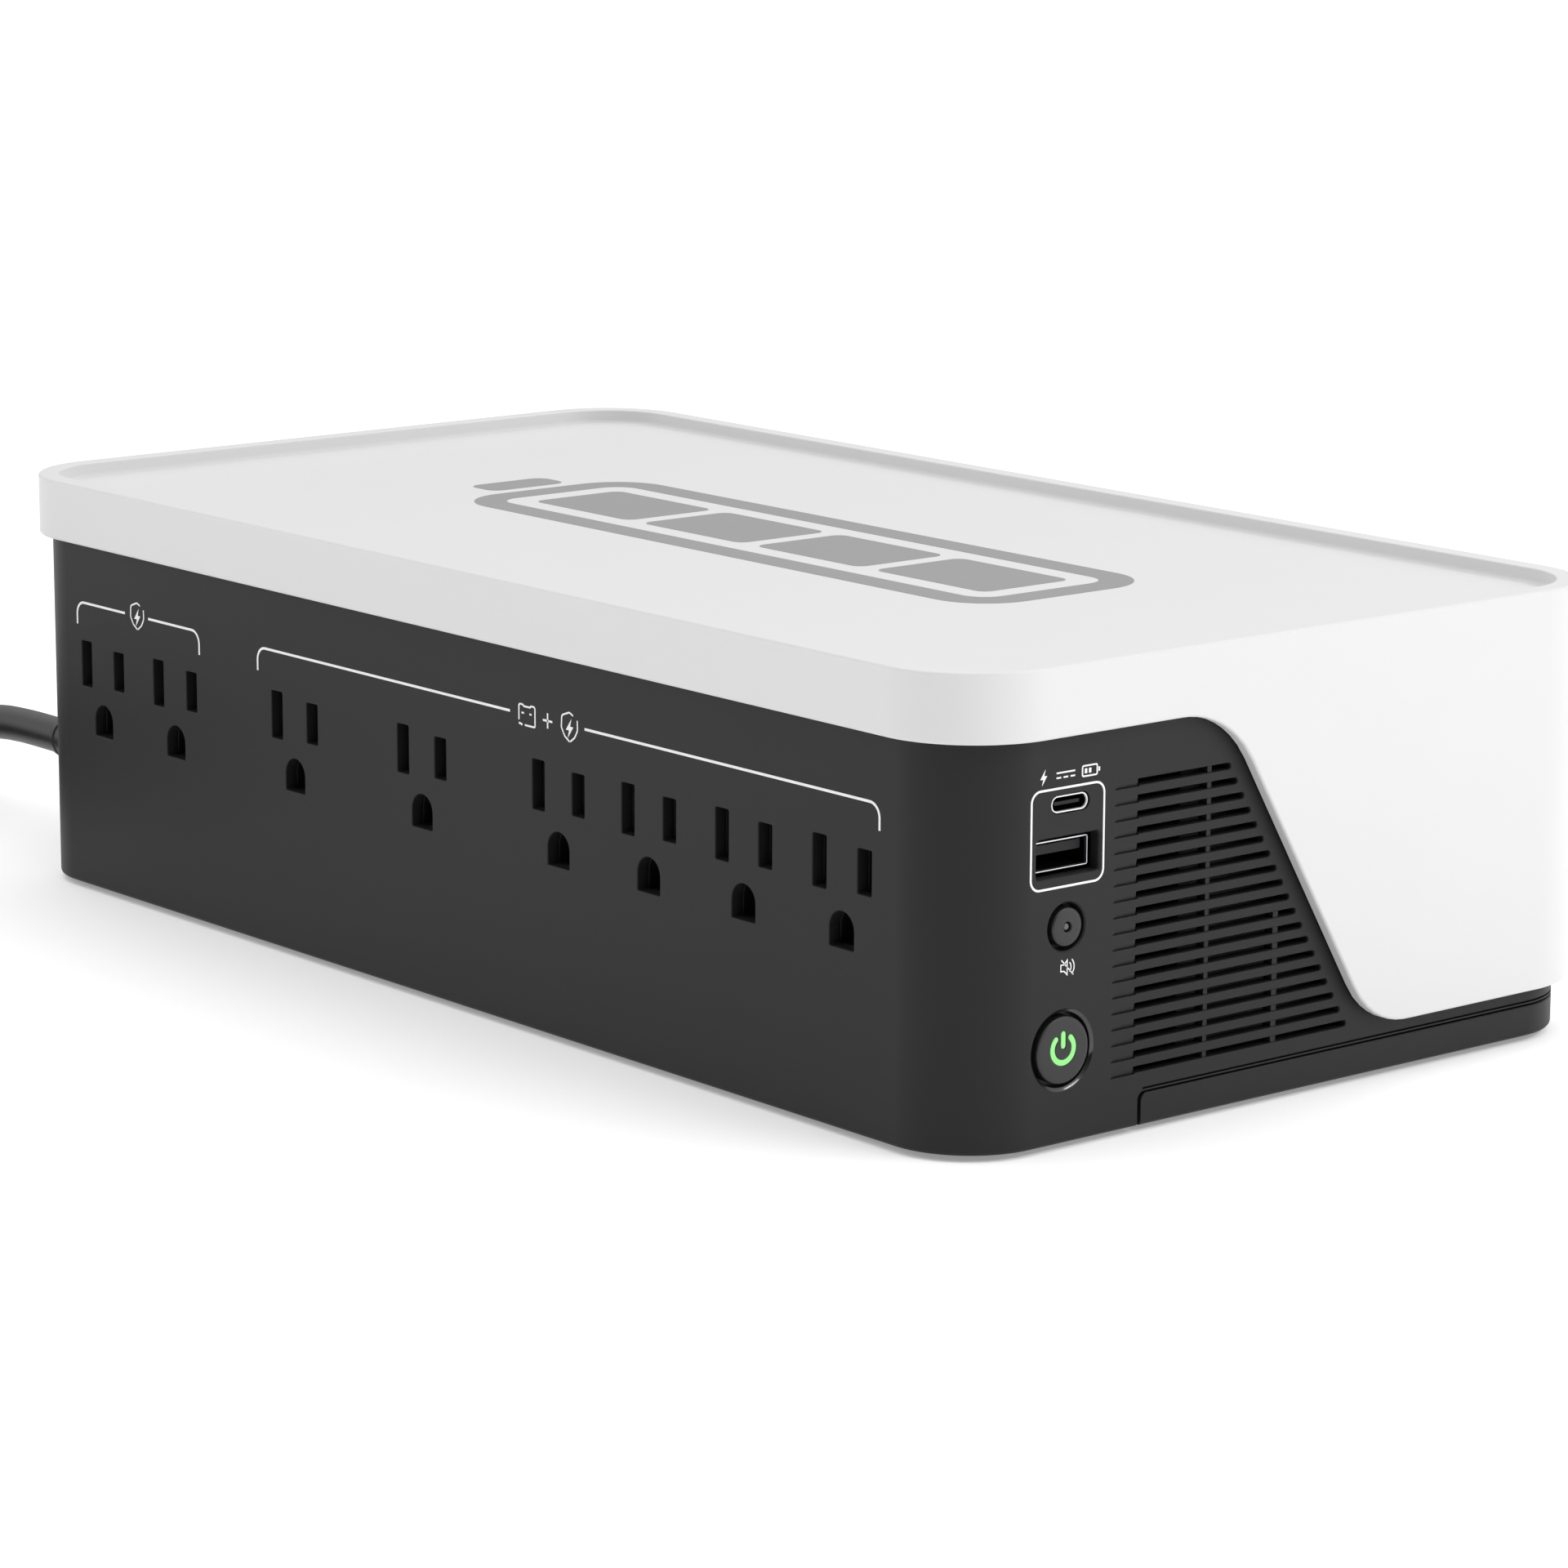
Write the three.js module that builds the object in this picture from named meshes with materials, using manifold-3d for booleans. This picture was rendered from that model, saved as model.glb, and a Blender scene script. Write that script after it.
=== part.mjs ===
// A low, box-shaped uninterruptible power supply: a black base under a white cover with a tray top.
// Millimetres, +Z up. The front, with its buttons, USB sockets and vents, faces -Y. The eight mains
// outlets face -X and the mains cord leaves the rear at +Y. The origin is on the standing surface,
// below the middle of the cover. Heights are above that surface.
import * as THREE from 'three';
import { mergeVertices } from 'three/addons/utils/BufferGeometryUtils.js';
import Module from 'manifold-3d';

// Driving dimensions.
const WIDTH = 166; // base, along X
const LENGTH = 312; // base, along Y
const CORNER = 17.5; // plan radius of the base's corners
const WALL = 2.5;
const GAP = 0.3; // between pieces that touch
const UNDERSIDE = 1.2; // the feet hold the base this high
const FLOOR = UNDERSIDE + WALL; // inside face of the base's floor
const BASE_TOP = 84.4;

const PROUD = GAP + WALL; // the cover stands this far outside the base
const RIM_TOP = 90.4;
const TRAY_TOP = 87.4;
const TRAY_RIM = 4.5; // width of the rim round the tray
const BAND_BOTTOM = 77.3; // lower edge of the cover over the outlets
const SKIRT_BOTTOM = 11.2; // lower edge of the cover at the right and round its corners
const BAND_CORNER = { x: -20, radius: 20.5 }; // where the band turns down along the slanted edge
const SKIRT_CORNER = { x: 19.2, radius: 17 }; // and where that edge meets the skirt

const OUTLETS = [31.5, 59.8, 104.5, 149.2, 194.3, 222.6, 251.1, 279.4]; // ground holes, from the rear
const SURGE_ONLY = 2; // the outlets nearest the rear that have no battery behind them
const BLADES = { z: 50.7, apart: 12.7, width: 3.9, neutral: 10, line: 8.5 };
const GROUND = { width: 6.9, bottom: 35.4, top: 42.4 };
const CARRIER = { depth: 22, bottom: 31, top: 63 };

const VENTS = { x: -40.2, top: 66.1, pitch: 3, height: 1.2, end: -16.85, slant: 0.589 };
const VENT_RIBS = [{ x: -22, width: 1, fromRow: 0 }, { x: -4.15, width: 1.3, fromRow: 10 }];
const FRONT_ROWS = 19;
const REAR_ROWS = 9;
const GROOVE = { x: -45.5, depth: 0.6 };

const POWER = { x: -58.03, z: 18.85, radius: 6.33, bezel: 7.16, travel: 1.5 };
const SIGN = { rise: 0.4, radius: 2.55, stroke: 1.1, openAngle: 68, barLow: 0.25, barHigh: 3.55 };
const MUTE = { x: -57.4, z: 41.7, radius: 3.81, bezel: 4.49, travel: 1 };
const USB_A = { x: -57.15, z: 54.8, width: 15.1, height: 7.15 };
const USB_C = { x: -56.9, z: 64.5, width: 9.2, height: 3.2 };

const DOOR = { left: -39.1, sill: -33, rear: 6.3, top: 8.4 }; // the opening that the door fills
const BATTERY = { x: [-24, 70], y: [-150, 1], z: [5.6, 70.6] };
const BOSSES = [[-72, -143], [-72, 143], [72, 143], [73, 15]];
const FEET = {
  front_left: [-64, -118], rear_left: [-64, 118], rear_right: [64, 118], front_right: [58, -118],
};
const FOOT_RADIUS = 6;
const FOOT_SEAT = 2.3; // height of the recess that a foot is glued into
const BOARD_POSTS = [[-50, 25], [-50, 135], [-4, 25], [-4, 135]];
const BATTERY_WALL = { x: [-40.5, -38.5], y: [7, 9], top: 34 };
const DOOR_RAIL = { x: 77.4, y: [-132, 8], bottom: 4.6, top: 10.4 };

const CORD = { x: -56, z: 22.7, radius: 4, leavesRelief: 184 };
const COIL = { x: -112, y: 272, radius: 48, halfWidth: 12, bottom: 1.3, top: 16.6 };
const TAIL = { x: -164, z: 12.6, leavesCoil: 235.4, plug: 222 }; // from the coil to the plug
const BREAKER = { x: -25, z: 23 };

const FRONT = -LENGTH / 2;
const REAR = LENGTH / 2;
const LEFT = -WIDTH / 2;
const RIGHT = WIDTH / 2;

// Solids: closed three.js geometries, joined and cut.
const wasm = await Module();
wasm.setup();

function solid(geometry) {
  const bare = geometry.index ? geometry.toNonIndexed() : geometry.clone();
  bare.deleteAttribute('normal');
  bare.deleteAttribute('uv');
  const merged = mergeVertices(bare);
  return new wasm.Manifold(new wasm.Mesh({
    numProp: 3,
    vertProperties: new Float32Array(merged.attributes.position.array),
    triVerts: new Uint32Array(merged.index.array),
  }));
}

function geometryOf(body) {
  const mesh = body.getMesh();
  const geometry = new THREE.BufferGeometry();
  geometry.setAttribute('position', new THREE.BufferAttribute(mesh.vertProperties, 3));
  geometry.setIndex(new THREE.BufferAttribute(mesh.triVerts, 1));
  geometry.computeVertexNormals();
  return geometry;
}

const join = (...bodies) => bodies.reduce((whole, body) => whole.add(body));
const cut = (body, ...tools) => tools.reduce((left, tool) => left.subtract(tool), body);

// Each of these gives a solid. Pairs are lowest and highest.
function block([x0, x1], [y0, y1], [z0, z1]) {
  const geometry = new THREE.BoxGeometry(x1 - x0, y1 - y0, z1 - z0);
  return solid(geometry.translate((x0 + x1) / 2, (y0 + y1) / 2, (z0 + z1) / 2));
}

// A closed outline through corners [x, y, radius], each rounded by an arc of its radius.
function outline(corners) {
  const shape = new THREE.Shape();
  const at = (i) => new THREE.Vector2(...corners[(i + corners.length) % corners.length]);
  corners.forEach(([, , radius = 0], i) => {
    const here = at(i);
    const back = at(i - 1).sub(here).normalize();
    const ahead = at(i + 1).sub(here).normalize();
    if (radius === 0) {
      shape[i === 0 ? 'moveTo' : 'lineTo'](here.x, here.y);
      return;
    }
    const half = Math.acos(back.dot(ahead)) / 2;
    const tangent = radius / Math.tan(half);
    const centre = back.clone().add(ahead).setLength(radius / Math.sin(half)).add(here);
    const angleTo = (side) => side.clone().multiplyScalar(tangent).add(here).sub(centre).angle();
    shape.absarc(centre.x, centre.y, radius, angleTo(back), angleTo(ahead), back.cross(ahead) > 0);
  });
  shape.closePath();
  return shape;
}

const rectangle = (cx, cy, width, height, radius = 0) => outline([
  [cx - width / 2, cy - height / 2, radius], [cx + width / 2, cy - height / 2, radius],
  [cx + width / 2, cy + height / 2, radius], [cx - width / 2, cy + height / 2, radius],
]);

function prism(shape, depth, basis, shift, curveSegments = 3) {
  const geometry = new THREE.ExtrudeGeometry(shape, { depth, curveSegments, bevelEnabled: false });
  geometry.applyMatrix4(new THREE.Matrix4().makeBasis(...basis));
  return solid(geometry.translate(...shift));
}

const X = new THREE.Vector3(1, 0, 0);
const Y = new THREE.Vector3(0, 1, 0);
const Z = new THREE.Vector3(0, 0, 1);
const alongX = (shape, [x0, x1], segments) => prism(shape, x1 - x0, [Y, Z, X], [x0, 0, 0], segments);
const alongY = (shape, [y0, y1], segments) => (
  prism(shape, y1 - y0, [X, Z, Y.clone().negate()], [0, y1, 0], segments)
);

// A round piece turned about an axis along Y, with its profile as [radius, y] from end to end.
function turned(x, z, profile, segments = 24) {
  const points = [[0, profile[0][1]], ...profile, [0, profile.at(-1)[1]]];
  const geometry = new THREE.LatheGeometry(points.map(([r, y]) => new THREE.Vector2(r, y)), segments);
  return solid(geometry.translate(x, 0, z));
}

const pin = (x, z, radius, [y0, y1], segments) => turned(x, z, [[radius, y0], [radius, y1]], segments);

function post([x, y], radius, [z0, z1], segments = 20) {
  const geometry = new THREE.CylinderGeometry(radius, radius, z1 - z0, segments);
  return solid(geometry.rotateX(Math.PI / 2).translate(x, y, (z0 + z1) / 2));
}

// A rounded slab that follows the base's plan, grown by a margin, with its end edges eased.
function planSlab(margin, [z0, z1], ease = 0) {
  const inset = margin - ease;
  const shape = rectangle(0, 0, WIDTH + 2 * inset, LENGTH + 2 * inset, CORNER + inset);
  const geometry = new THREE.ExtrudeGeometry(shape, {
    depth: z1 - z0 - 2 * ease,
    curveSegments: 4,
    bevelEnabled: ease > 0,
    bevelThickness: ease,
    bevelSize: ease,
    bevelSegments: 2,
  });
  return solid(geometry.translate(0, 0, z0 + ease));
}

function tube(points, radius, steps, sides = 8) {
  const section = new THREE.Shape().absarc(0, 0, radius, 0, 2 * Math.PI);
  const path = new THREE.CatmullRomCurve3(points.map((p) => new THREE.Vector3(...p)));
  return solid(new THREE.ExtrudeGeometry(section, {
    steps, curveSegments: sides / 2, extrudePath: path, bevelEnabled: false,
  }));
}

// Materials.
const finish = (color, roughness, metalness = 0) =>
  new THREE.MeshStandardMaterial({ color, roughness, metalness });
const blackPlastic = finish(0x2e2e2f, 0.55);
const whitePlastic = finish(0xeceaea, 0.5);
const buttonPlastic = finish(0x232324, 0.5);
const greenLight = finish(0x8df08a, 0.3);
const paleLight = finish(0x9a9a96, 0.4);
const rubber = finish(0x1c1c1c, 0.9);
const cordPlastic = finish(0x2a2a2b, 0.45);
const boardGreen = finish(0x1e5a36, 0.6);
const steel = finish(0xb9bcc0, 0.35, 0.9);
const brass = finish(0xb9965a, 0.4, 0.9);
const copper = finish(0xa4552c, 0.45, 0.6);
const aluminium = finish(0xa9acb0, 0.4, 0.9);
const batteryPlastic = finish(0x3a3c40, 0.6);
const redPlastic = finish(0xa3221c, 0.5);
const foam = finish(0x3b3b3b, 0.95);
const componentPlastic = finish(0x24262a, 0.45);
const blueCoating = finish(0x2f4f8f, 0.5);

const group = new THREE.Group();

function add(name, body, material) {
  const mesh = new THREE.Mesh(geometryOf(body), material);
  mesh.name = name;
  group.add(mesh);
}

// Cover and base.

// The side view of what the cover leaves open, from the outlets' side to the skirt.
function openSide() {
  return outline([
    [LEFT - 20, -20], [RIGHT + 20, -20], [RIGHT + 20, SKIRT_BOTTOM],
    [SKIRT_CORNER.x, SKIRT_BOTTOM, SKIRT_CORNER.radius],
    [BAND_CORNER.x, BAND_BOTTOM, BAND_CORNER.radius], [LEFT - 20, BAND_BOTTOM],
  ]);
}

function topCover() {
  const bosses = BOSSES.map((place) => post(place, 4.5, [FLOOR + 4 + GAP, TRAY_TOP - 1]));
  const pilots = BOSSES.map((place) => post(place, 1.8, [0, FLOOR + 22], 10));
  const shell = cut(
    planSlab(PROUD, [SKIRT_BOTTOM - 5, RIM_TOP], 0.6),
    planSlab(GAP, [-10, TRAY_TOP - WALL]),
    planSlab(PROUD - TRAY_RIM, [TRAY_TOP, RIM_TOP + 10], 1),
    alongY(openSide(), [FRONT - 20, REAR + 20], 5),
  );
  return cut(join(shell, ...bosses), ...pilots);
}

// One slot of the vents, square on its left and rounded on its right where it ends the row.
function ventSlot([x0, x1], z, isLast, depth) {
  const low = z - VENTS.height / 2;
  const high = z + VENTS.height / 2;
  const round = isLast ? VENTS.height / 2 - 0.01 : 0;
  return alongY(outline([[x0, low], [x1, low, round], [x1, high, round], [x0, high]]), depth, 2);
}

// The rows of slots through the wall at face, with the shallow grooves that lead into them.
function vents(face, rows) {
  const inward = face < 0 ? 1 : -1;
  const span = (depth) => [face - 5 * inward, face + depth * inward].sort((a, b) => a - b);
  const slots = [];
  for (let row = 0; row < rows; row += 1) {
    const z = VENTS.top - VENTS.pitch * row;
    const end = VENTS.end + VENTS.slant * VENTS.pitch * row;
    let from = VENTS.x;
    VENT_RIBS.filter((rib) => row >= rib.fromRow).forEach((rib) => {
      slots.push(ventSlot([from, rib.x - rib.width / 2], z, false, span(WALL + 1)));
      from = rib.x + rib.width / 2;
    });
    slots.push(ventSlot([from, end], z, true, span(WALL + 1)));
    slots.push(ventSlot([GROOVE.x, VENTS.x + 0.1], z, false, span(GROOVE.depth)));
  }
  return slots;
}

// The two blade slots and the ground hole of every outlet, between two depths.
function outletHoles(depth) {
  return OUTLETS.flatMap((fromRear) => {
    const y = REAR - fromRear;
    const slot = (offset, height) => alongX(rectangle(y + offset, BLADES.z, BLADES.width, height), depth);
    const half = GROUND.width / 2;
    const ground = outline([
      [y - half, GROUND.bottom], [y + half, GROUND.bottom],
      [y + half, GROUND.top, half - 0.01], [y - half, GROUND.top, half - 0.01],
    ]);
    return [
      slot(BLADES.apart / 2, BLADES.neutral),
      slot(-BLADES.apart / 2, BLADES.line),
      alongX(ground, depth, 3),
    ];
  });
}

function baseShell() {
  const bossTop = FLOOR + 4;
  const wallHeight = [FLOOR - 1, BATTERY_WALL.top];
  const additions = [
    ...BOSSES.map((place) => post(place, 5.5, [UNDERSIDE + 1, bossTop])),
    ...BOARD_POSTS.map((place) => post(place, 3, [FLOOR - 1, bossTop], 12)),
    block(BATTERY_WALL.x, [FRONT + 1, BATTERY_WALL.y[1]], wallHeight),
    block([BATTERY_WALL.x[0], RIGHT - 1], BATTERY_WALL.y, wallHeight),
  ];
  const rail = join( // a channel in which the door's right tongue slides
    block([DOOR_RAIL.x, RIGHT - 1], DOOR_RAIL.y, [DOOR.top, DOOR_RAIL.top]),
    block([DOOR_RAIL.x, RIGHT - WALL - GAP], DOOR_RAIL.y, [DOOR_RAIL.bottom, DOOR_RAIL.top]),
    block([DOOR_RAIL.x - 3, RIGHT - WALL - GAP], DOOR_RAIL.y, [DOOR_RAIL.bottom, 5.8]),
  );
  const doorWay = [
    block([DOOR.left, RIGHT + 5], [FRONT - 5, FRONT + WALL + GAP], [0, DOOR.top]),
    block([DOOR.sill, RIGHT + 5], [FRONT - 5, DOOR.rear], [0, DOOR.top]),
  ];
  const wall = [FRONT - 5, FRONT + WALL + 1];
  const rearWall = [REAR - WALL - 1, REAR + 5];
  const frontHoles = [POWER, MUTE].flatMap(({ x, z, radius, bezel }) => [
    pin(x, z, radius + GAP, wall),
    turned(x, z, [[bezel + 1, FRONT - 1], [bezel, FRONT], [radius + GAP, FRONT + 0.6]]),
  ]);
  const sockets = [
    alongY(rectangle(USB_A.x, USB_A.z, USB_A.width, USB_A.height, 0.6), wall, 1),
    alongY(rectangle(USB_C.x, USB_C.z, USB_C.width + GAP, USB_C.height + GAP, USB_C.height / 2), wall),
  ];
  const underside = [
    ...BOSSES.flatMap((place) => [post(place, 3.6, [0, 5.6]), post(place, 1.9, [0, 12], 12)]),
    ...Object.values(FEET).map((place) => post(place, FOOT_RADIUS + GAP, [0, FOOT_SEAT])),
  ];
  return cut(
    join(cut(join(cut(planSlab(0, [UNDERSIDE, BASE_TOP]), planSlab(-WALL, [FLOOR, RIM_TOP])), ...additions),
      ...doorWay), rail),
    ...outletHoles([LEFT - 5, LEFT + WALL + 1]),
    ...vents(FRONT, FRONT_ROWS),
    ...vents(REAR, REAR_ROWS),
    ...frontHoles,
    ...sockets,
    ...underside,
    pin(CORD.x, CORD.z, 7.3, rearWall),
    pin(BREAKER.x, BREAKER.z, 5.5, rearWall),
  );
}

// The door wraps the front and the right side. Its two tongues run over the sill and in the rail.
function batteryDoor() {
  const top = DOOR.top - 0.35;
  const skin = planSlab(0, [UNDERSIDE, top]);
  const hollow = planSlab(-WALL, [FLOOR, top + 5]);
  const floorPart = block([DOOR.sill + GAP, RIGHT + 5], [FRONT - 5, DOOR.rear - GAP], [0, top]);
  const lipPart = block([DOOR.left + GAP, RIGHT + 5], [FRONT - 5, FRONT + WALL], [0, top]);
  const tongues = [
    block([-32.7, -30.7], [-150, 4], [3.2, 5.4]),
    block([-37, -30.7], [-150, 4], [FLOOR + GAP, 5.4]),
    block([72, 74.1], [-131, 4], [3.2, 7.8]),
    block([72, 77.1], [-131, 4], [6.1, 7.8]),
  ];
  return cut(
    join(cut(skin, hollow).intersect(join(floorPart, lipPart)), ...tongues),
    post(FEET.front_right, FOOT_RADIUS + GAP, [0, FOOT_SEAT]),
  );
}

// Buttons: a cap that is held behind the wall by its flange, with a light guide through its face.
function buttonCap({ x, z, radius }) {
  return turned(x, z, [
    [radius - 0.4, FRONT - 0.3], [radius, FRONT + 0.1], [radius, FRONT + WALL + GAP],
    [radius + 1.3, FRONT + WALL + GAP], [radius + 1.3, FRONT + 4.2], [radius * 0.86, FRONT + 4.2],
    [radius * 0.86, FRONT + 7.6],
  ], 32);
}

// The power sign: an open ring and an upright bar. Grow widens every stroke.
function powerSign(grow) {
  const { x } = POWER;
  const { rise, radius, stroke, openAngle, barLow, barHigh } = SIGN;
  const z = POWER.z + rise;
  const half = stroke / 2 + grow;
  const ring = new THREE.Shape();
  const from = THREE.MathUtils.degToRad(90 + openAngle / 2) - grow / 4;
  const to = THREE.MathUtils.degToRad(450 - openAngle / 2) + grow / 4;
  ring.absarc(x, z, radius + half, from, to, false);
  ring.absarc(x, z, radius - half, to, from, true);
  ring.closePath();
  return [ring, rectangle(x, z + (barLow + barHigh) / 2, 2 * half, barHigh - barLow + 2 * grow)];
}

function powerButton() {
  const depth = [FRONT - 2, FRONT + 5];
  return cut(
    buttonCap(POWER),
    ...powerSign(0.2).map((shape) => alongY(shape, depth, 8)),
    pin(POWER.x, POWER.z, 4.4, [FRONT + 4.8, FRONT + 6.6]),
  );
}

function powerLightGuide() {
  const signs = powerSign(0).map((shape) => alongY(shape, [FRONT - 0.35, FRONT + 5.3], 8));
  return join(pin(POWER.x, POWER.z, 3.4, [FRONT + 5.2, FRONT + 6.2]), ...signs);
}

function buttons() {
  const lightHole = pin(MUTE.x, MUTE.z, 1, [FRONT - 2, FRONT + 9], 12);
  add('power_button', powerButton(), buttonPlastic);
  add('power_light_guide', powerLightGuide(), greenLight);
  add('mute_button', cut(buttonCap(MUTE), lightHole), buttonPlastic);
  add('mute_light_guide', pin(MUTE.x, MUTE.z, 0.7, [FRONT - 0.35, FRONT + 7.4], 12), paleLight);
}

// Sockets and boards behind the front.
function usbShell({ x, z }, width, height, radius, [y0, y1]) {
  return cut(
    alongY(rectangle(x, z, width, height, radius), [y0, y1]),
    alongY(rectangle(x, z, width - 0.8, height - 0.8, Math.max(radius - 0.4, 0)), [y0 - 1, y1 - 0.5]),
  );
}

function frontElectronics() {
  const boardX = [-66.6, -48];
  const shellC = [FRONT + 0.2, FRONT + 16];
  add('usb_a_shell', usbShell(USB_A, 13.1, 5.7, 0.5, [FRONT + 2, FRONT + 16]), steel);
  add('usb_a_tongue', block([USB_A.x - 5.6, USB_A.x + 5.6], [FRONT + 3, FRONT + 15.2],
    [USB_A.z + 0.2, USB_A.z + 2]), componentPlastic);
  add('usb_c_shell', usbShell(USB_C, USB_C.width - GAP, USB_C.height, 1.55, shellC), steel);
  add('usb_c_tongue', block([USB_C.x - 3.2, USB_C.x + 3.2], [FRONT + 1, FRONT + 15.2],
    [USB_C.z - 0.35, USB_C.z + 0.35]), componentPlastic);
  add('usb_board', block(boardX, [FRONT + 16.3, FRONT + 17.9], [49, 73]), boardGreen);
  add('front_board', block(boardX, [FRONT + 13, FRONT + 14.6], [10, 47]), boardGreen);
  [['power_switch', POWER], ['mute_switch', MUTE]].forEach(([name, { x, z, travel }]) => {
    const front = FRONT + 7.6 + travel + GAP;
    const body = block([x - 3, x + 3], [front + 1, FRONT + 13 - GAP], [z - 3, z + 3]);
    add(name, join(body, pin(x, z, 1.6, [front, front + 1.2], 12)), componentPlastic);
  });
}

// Outlets: one insulating carrier with metal contacts on a rail for each conductor.
function contactRail(outlets, [low, high], offset, [tabLow, tabHigh]) {
  const x = LEFT + WALL + CARRIER.depth + GAP;
  const ys = outlets.map((fromRear) => REAR - fromRear + offset);
  const strip = block([x, x + 0.8], [Math.min(...ys) - 4, Math.max(...ys) + 4], [low, high]);
  const middle = (low + high) / 2;
  const tabs = ys.flatMap((y) => [
    block([x, x + 0.8], [y - 1.5, y + 1.5], [Math.min(middle, tabLow), Math.max(middle, tabHigh)]),
    block([x - 12, x + 0.4], [y - 0.4, y + 0.4], [tabLow, tabHigh]),
  ]);
  return join(strip, ...tabs);
}

function outletBlock() {
  const x = LEFT + WALL + GAP;
  const ends = [REAR - OUTLETS.at(-1) - 12, REAR - OUTLETS[0] + 12];
  const carrier = block([x, x + CARRIER.depth - GAP], ends, [CARRIER.bottom, CARRIER.top]);
  add('outlet_carrier', cut(carrier, ...outletHoles([x - 1, x + CARRIER.depth])), componentPlastic);
  add('ground_rail', contactRail(OUTLETS, [31.5, 34], 0, [37, 40]), brass);
  add('neutral_rail', contactRail(OUTLETS, [57, 60.5], BLADES.apart / 2, [48, 54]), brass);
  const line = [42.8, 45.5];
  const lineOffset = -BLADES.apart / 2;
  add('surge_line_rail', contactRail(OUTLETS.slice(0, SURGE_ONLY), line, lineOffset, [47.2, 53]), brass);
  add('battery_line_rail', contactRail(OUTLETS.slice(SURGE_ONLY), line, lineOffset, [47.2, 53]), brass);
}

// Power electronics on the main board, behind the battery.
function heatSink([x0, x1], [y0, y1]) {
  const fins = [];
  for (let y = y0; y + 1.5 <= y1; y += 6) {
    fins.push(block([x0, x1], [y, y + 1.5], [10.2, 46]));
  }
  return join(block([x0, x0 + 3], [y0, y1], [10.2, 46]), ...fins);
}

function transformer() {
  const windows = [[49, 67], [91, 109]].map((y) => block([0, 80], y, [18, 60]));
  add('transformer_core', cut(block([24, 60], [36, 122], [FLOOR + GAP, 72]), ...windows), steel);
  const winding = block([12, 72], [49.4, 108.6], [18.4, 59.6]);
  add('transformer_coil', cut(winding, block([23.6, 60.4], [66.6, 91.4], [0, 80])), copper);
}

function electronics() {
  const top = 9.6;
  const seat = top + GAP;
  add('main_board', block([-55, 2], [20, 140], [FLOOR + 4 + GAP, top]), boardGreen);
  add('heat_sink_front', heatSink([-16, -2], [64, 94]), aluminium);
  add('heat_sink_rear', heatSink([-16, -2], [101, 131]), aluminium);
  [['relay_front', 96], ['relay_rear', 118]].forEach(([name, y]) => {
    add(name, block([-52, -36], [y, y + 19], [seat, seat + 15]), blueCoating);
  });
  [['capacitor_front', 42], ['capacitor_rear', 62]].forEach(([name, y]) => {
    add(name, post([-28, y], 8, [seat, seat + 32]), componentPlastic);
  });
  [44, 58, 72].forEach((y, i) => {
    add(`surge_varistor_${i + 1}`, pin(-47, seat + 8.5, 7.5, [y, y + 4.5], 16), blueCoating);
  });
  add('buzzer', post([-10, 40], 6, [seat, seat + 9]), componentPlastic);
  add('circuit_breaker', cut(
    join(block([BREAKER.x - 9, BREAKER.x + 9], [142, REAR - WALL - GAP], [BREAKER.z - 11, BREAKER.z + 11]),
      pin(BREAKER.x, BREAKER.z, 5.2, [REAR - WALL - 1, REAR + 0.8])),
    pin(BREAKER.x, BREAKER.z, 3.5, [REAR - 9, REAR + 5]),
  ), componentPlastic);
  add('breaker_reset_button', turned(BREAKER.x, BREAKER.z,
    [[3.2, REAR - 8], [3.2, REAR + 2], [2.8, REAR + 2.4]]), redPlastic);
}

function battery() {
  const { x, y, z } = BATTERY;
  const lid = block([x[0], x[0] + 8], y, z);
  const body = block([x[0] + 7, x[1]], [y[0] + 1, y[1] - 1], [z[0] + 1, z[1] - 1]);
  add('battery', join(lid, body), batteryPlastic);
  [['battery_terminal_negative', -134], ['battery_terminal_positive', -14]].forEach(([name, at]) => {
    add(name, block([x[0] - 6.8, x[0] - GAP], [at - 3.2, at + 3.2], [60, 60.8]), brass);
  });
  add('battery_pad', block([-20, 66], [-140, -8], [FLOOR + GAP + 0.1, BATTERY.z[0] - GAP]), foam);
  const leadRadius = 1.6;
  add('battery_lead_red', tube([
    [-33, -18, 62.6], [-35, -10, 62.8], [-43, 0, 58], [-48, 8, 50], [-47, 24, 34], [-42, 31, 20],
    [-40, 32, 10],
  ], leadRadius, 18, 6), redPlastic);
  add('battery_lead_black', tube([
    [-33, -136, 62.6], [-36, -126, 63], [-43.5, -110, 58], [-44, -60, 52], [-43.5, -10, 44],
    [-42, 14, 34], [-35, 27, 20], [-33, 29, 10],
  ], leadRadius, 26, 6), rubber);
}

// Fastenings and feet.
function fastenings() {
  const names = ['front_left', 'rear_left', 'rear_right', 'middle_right'];
  BOSSES.forEach(([x, y], i) => {
    const head = post([x, y], 3.2, [3.2, 5.3]);
    add(`cover_screw_${names[i]}`, join(head, post([x, y], 1.5, [5, 20], 12)), steel);
  });
  Object.entries(FEET).forEach(([name, place]) => {
    add(`foot_${name}`, post(place, FOOT_RADIUS, [0, 2], 24), rubber);
  });
}

// The mains cord: a strain relief, a straight run that comes down to the surface, a tied coil and a plug.
// The run's centreline, from the strain relief to the coil.
const CORD_RUN = [
  [-56, 184.3, 22.7], [-56, 188, 22.7], [-56, 192, 22.7], [-56, 196, 22.7], [-56, 200, 22.65],
  [-56, 204, 22.5], [-56, 208, 22.3], [-56, 212, 21.9], [-56, 216, 21.2], [-56, 220, 20.3],
  [-56, 224, 19.1], [-56, 228, 17.8], [-56, 232, 16.3], [-56, 236, 14.7], [-56, 240, 13],
  [-56, 241.6, 12.4],
];

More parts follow.
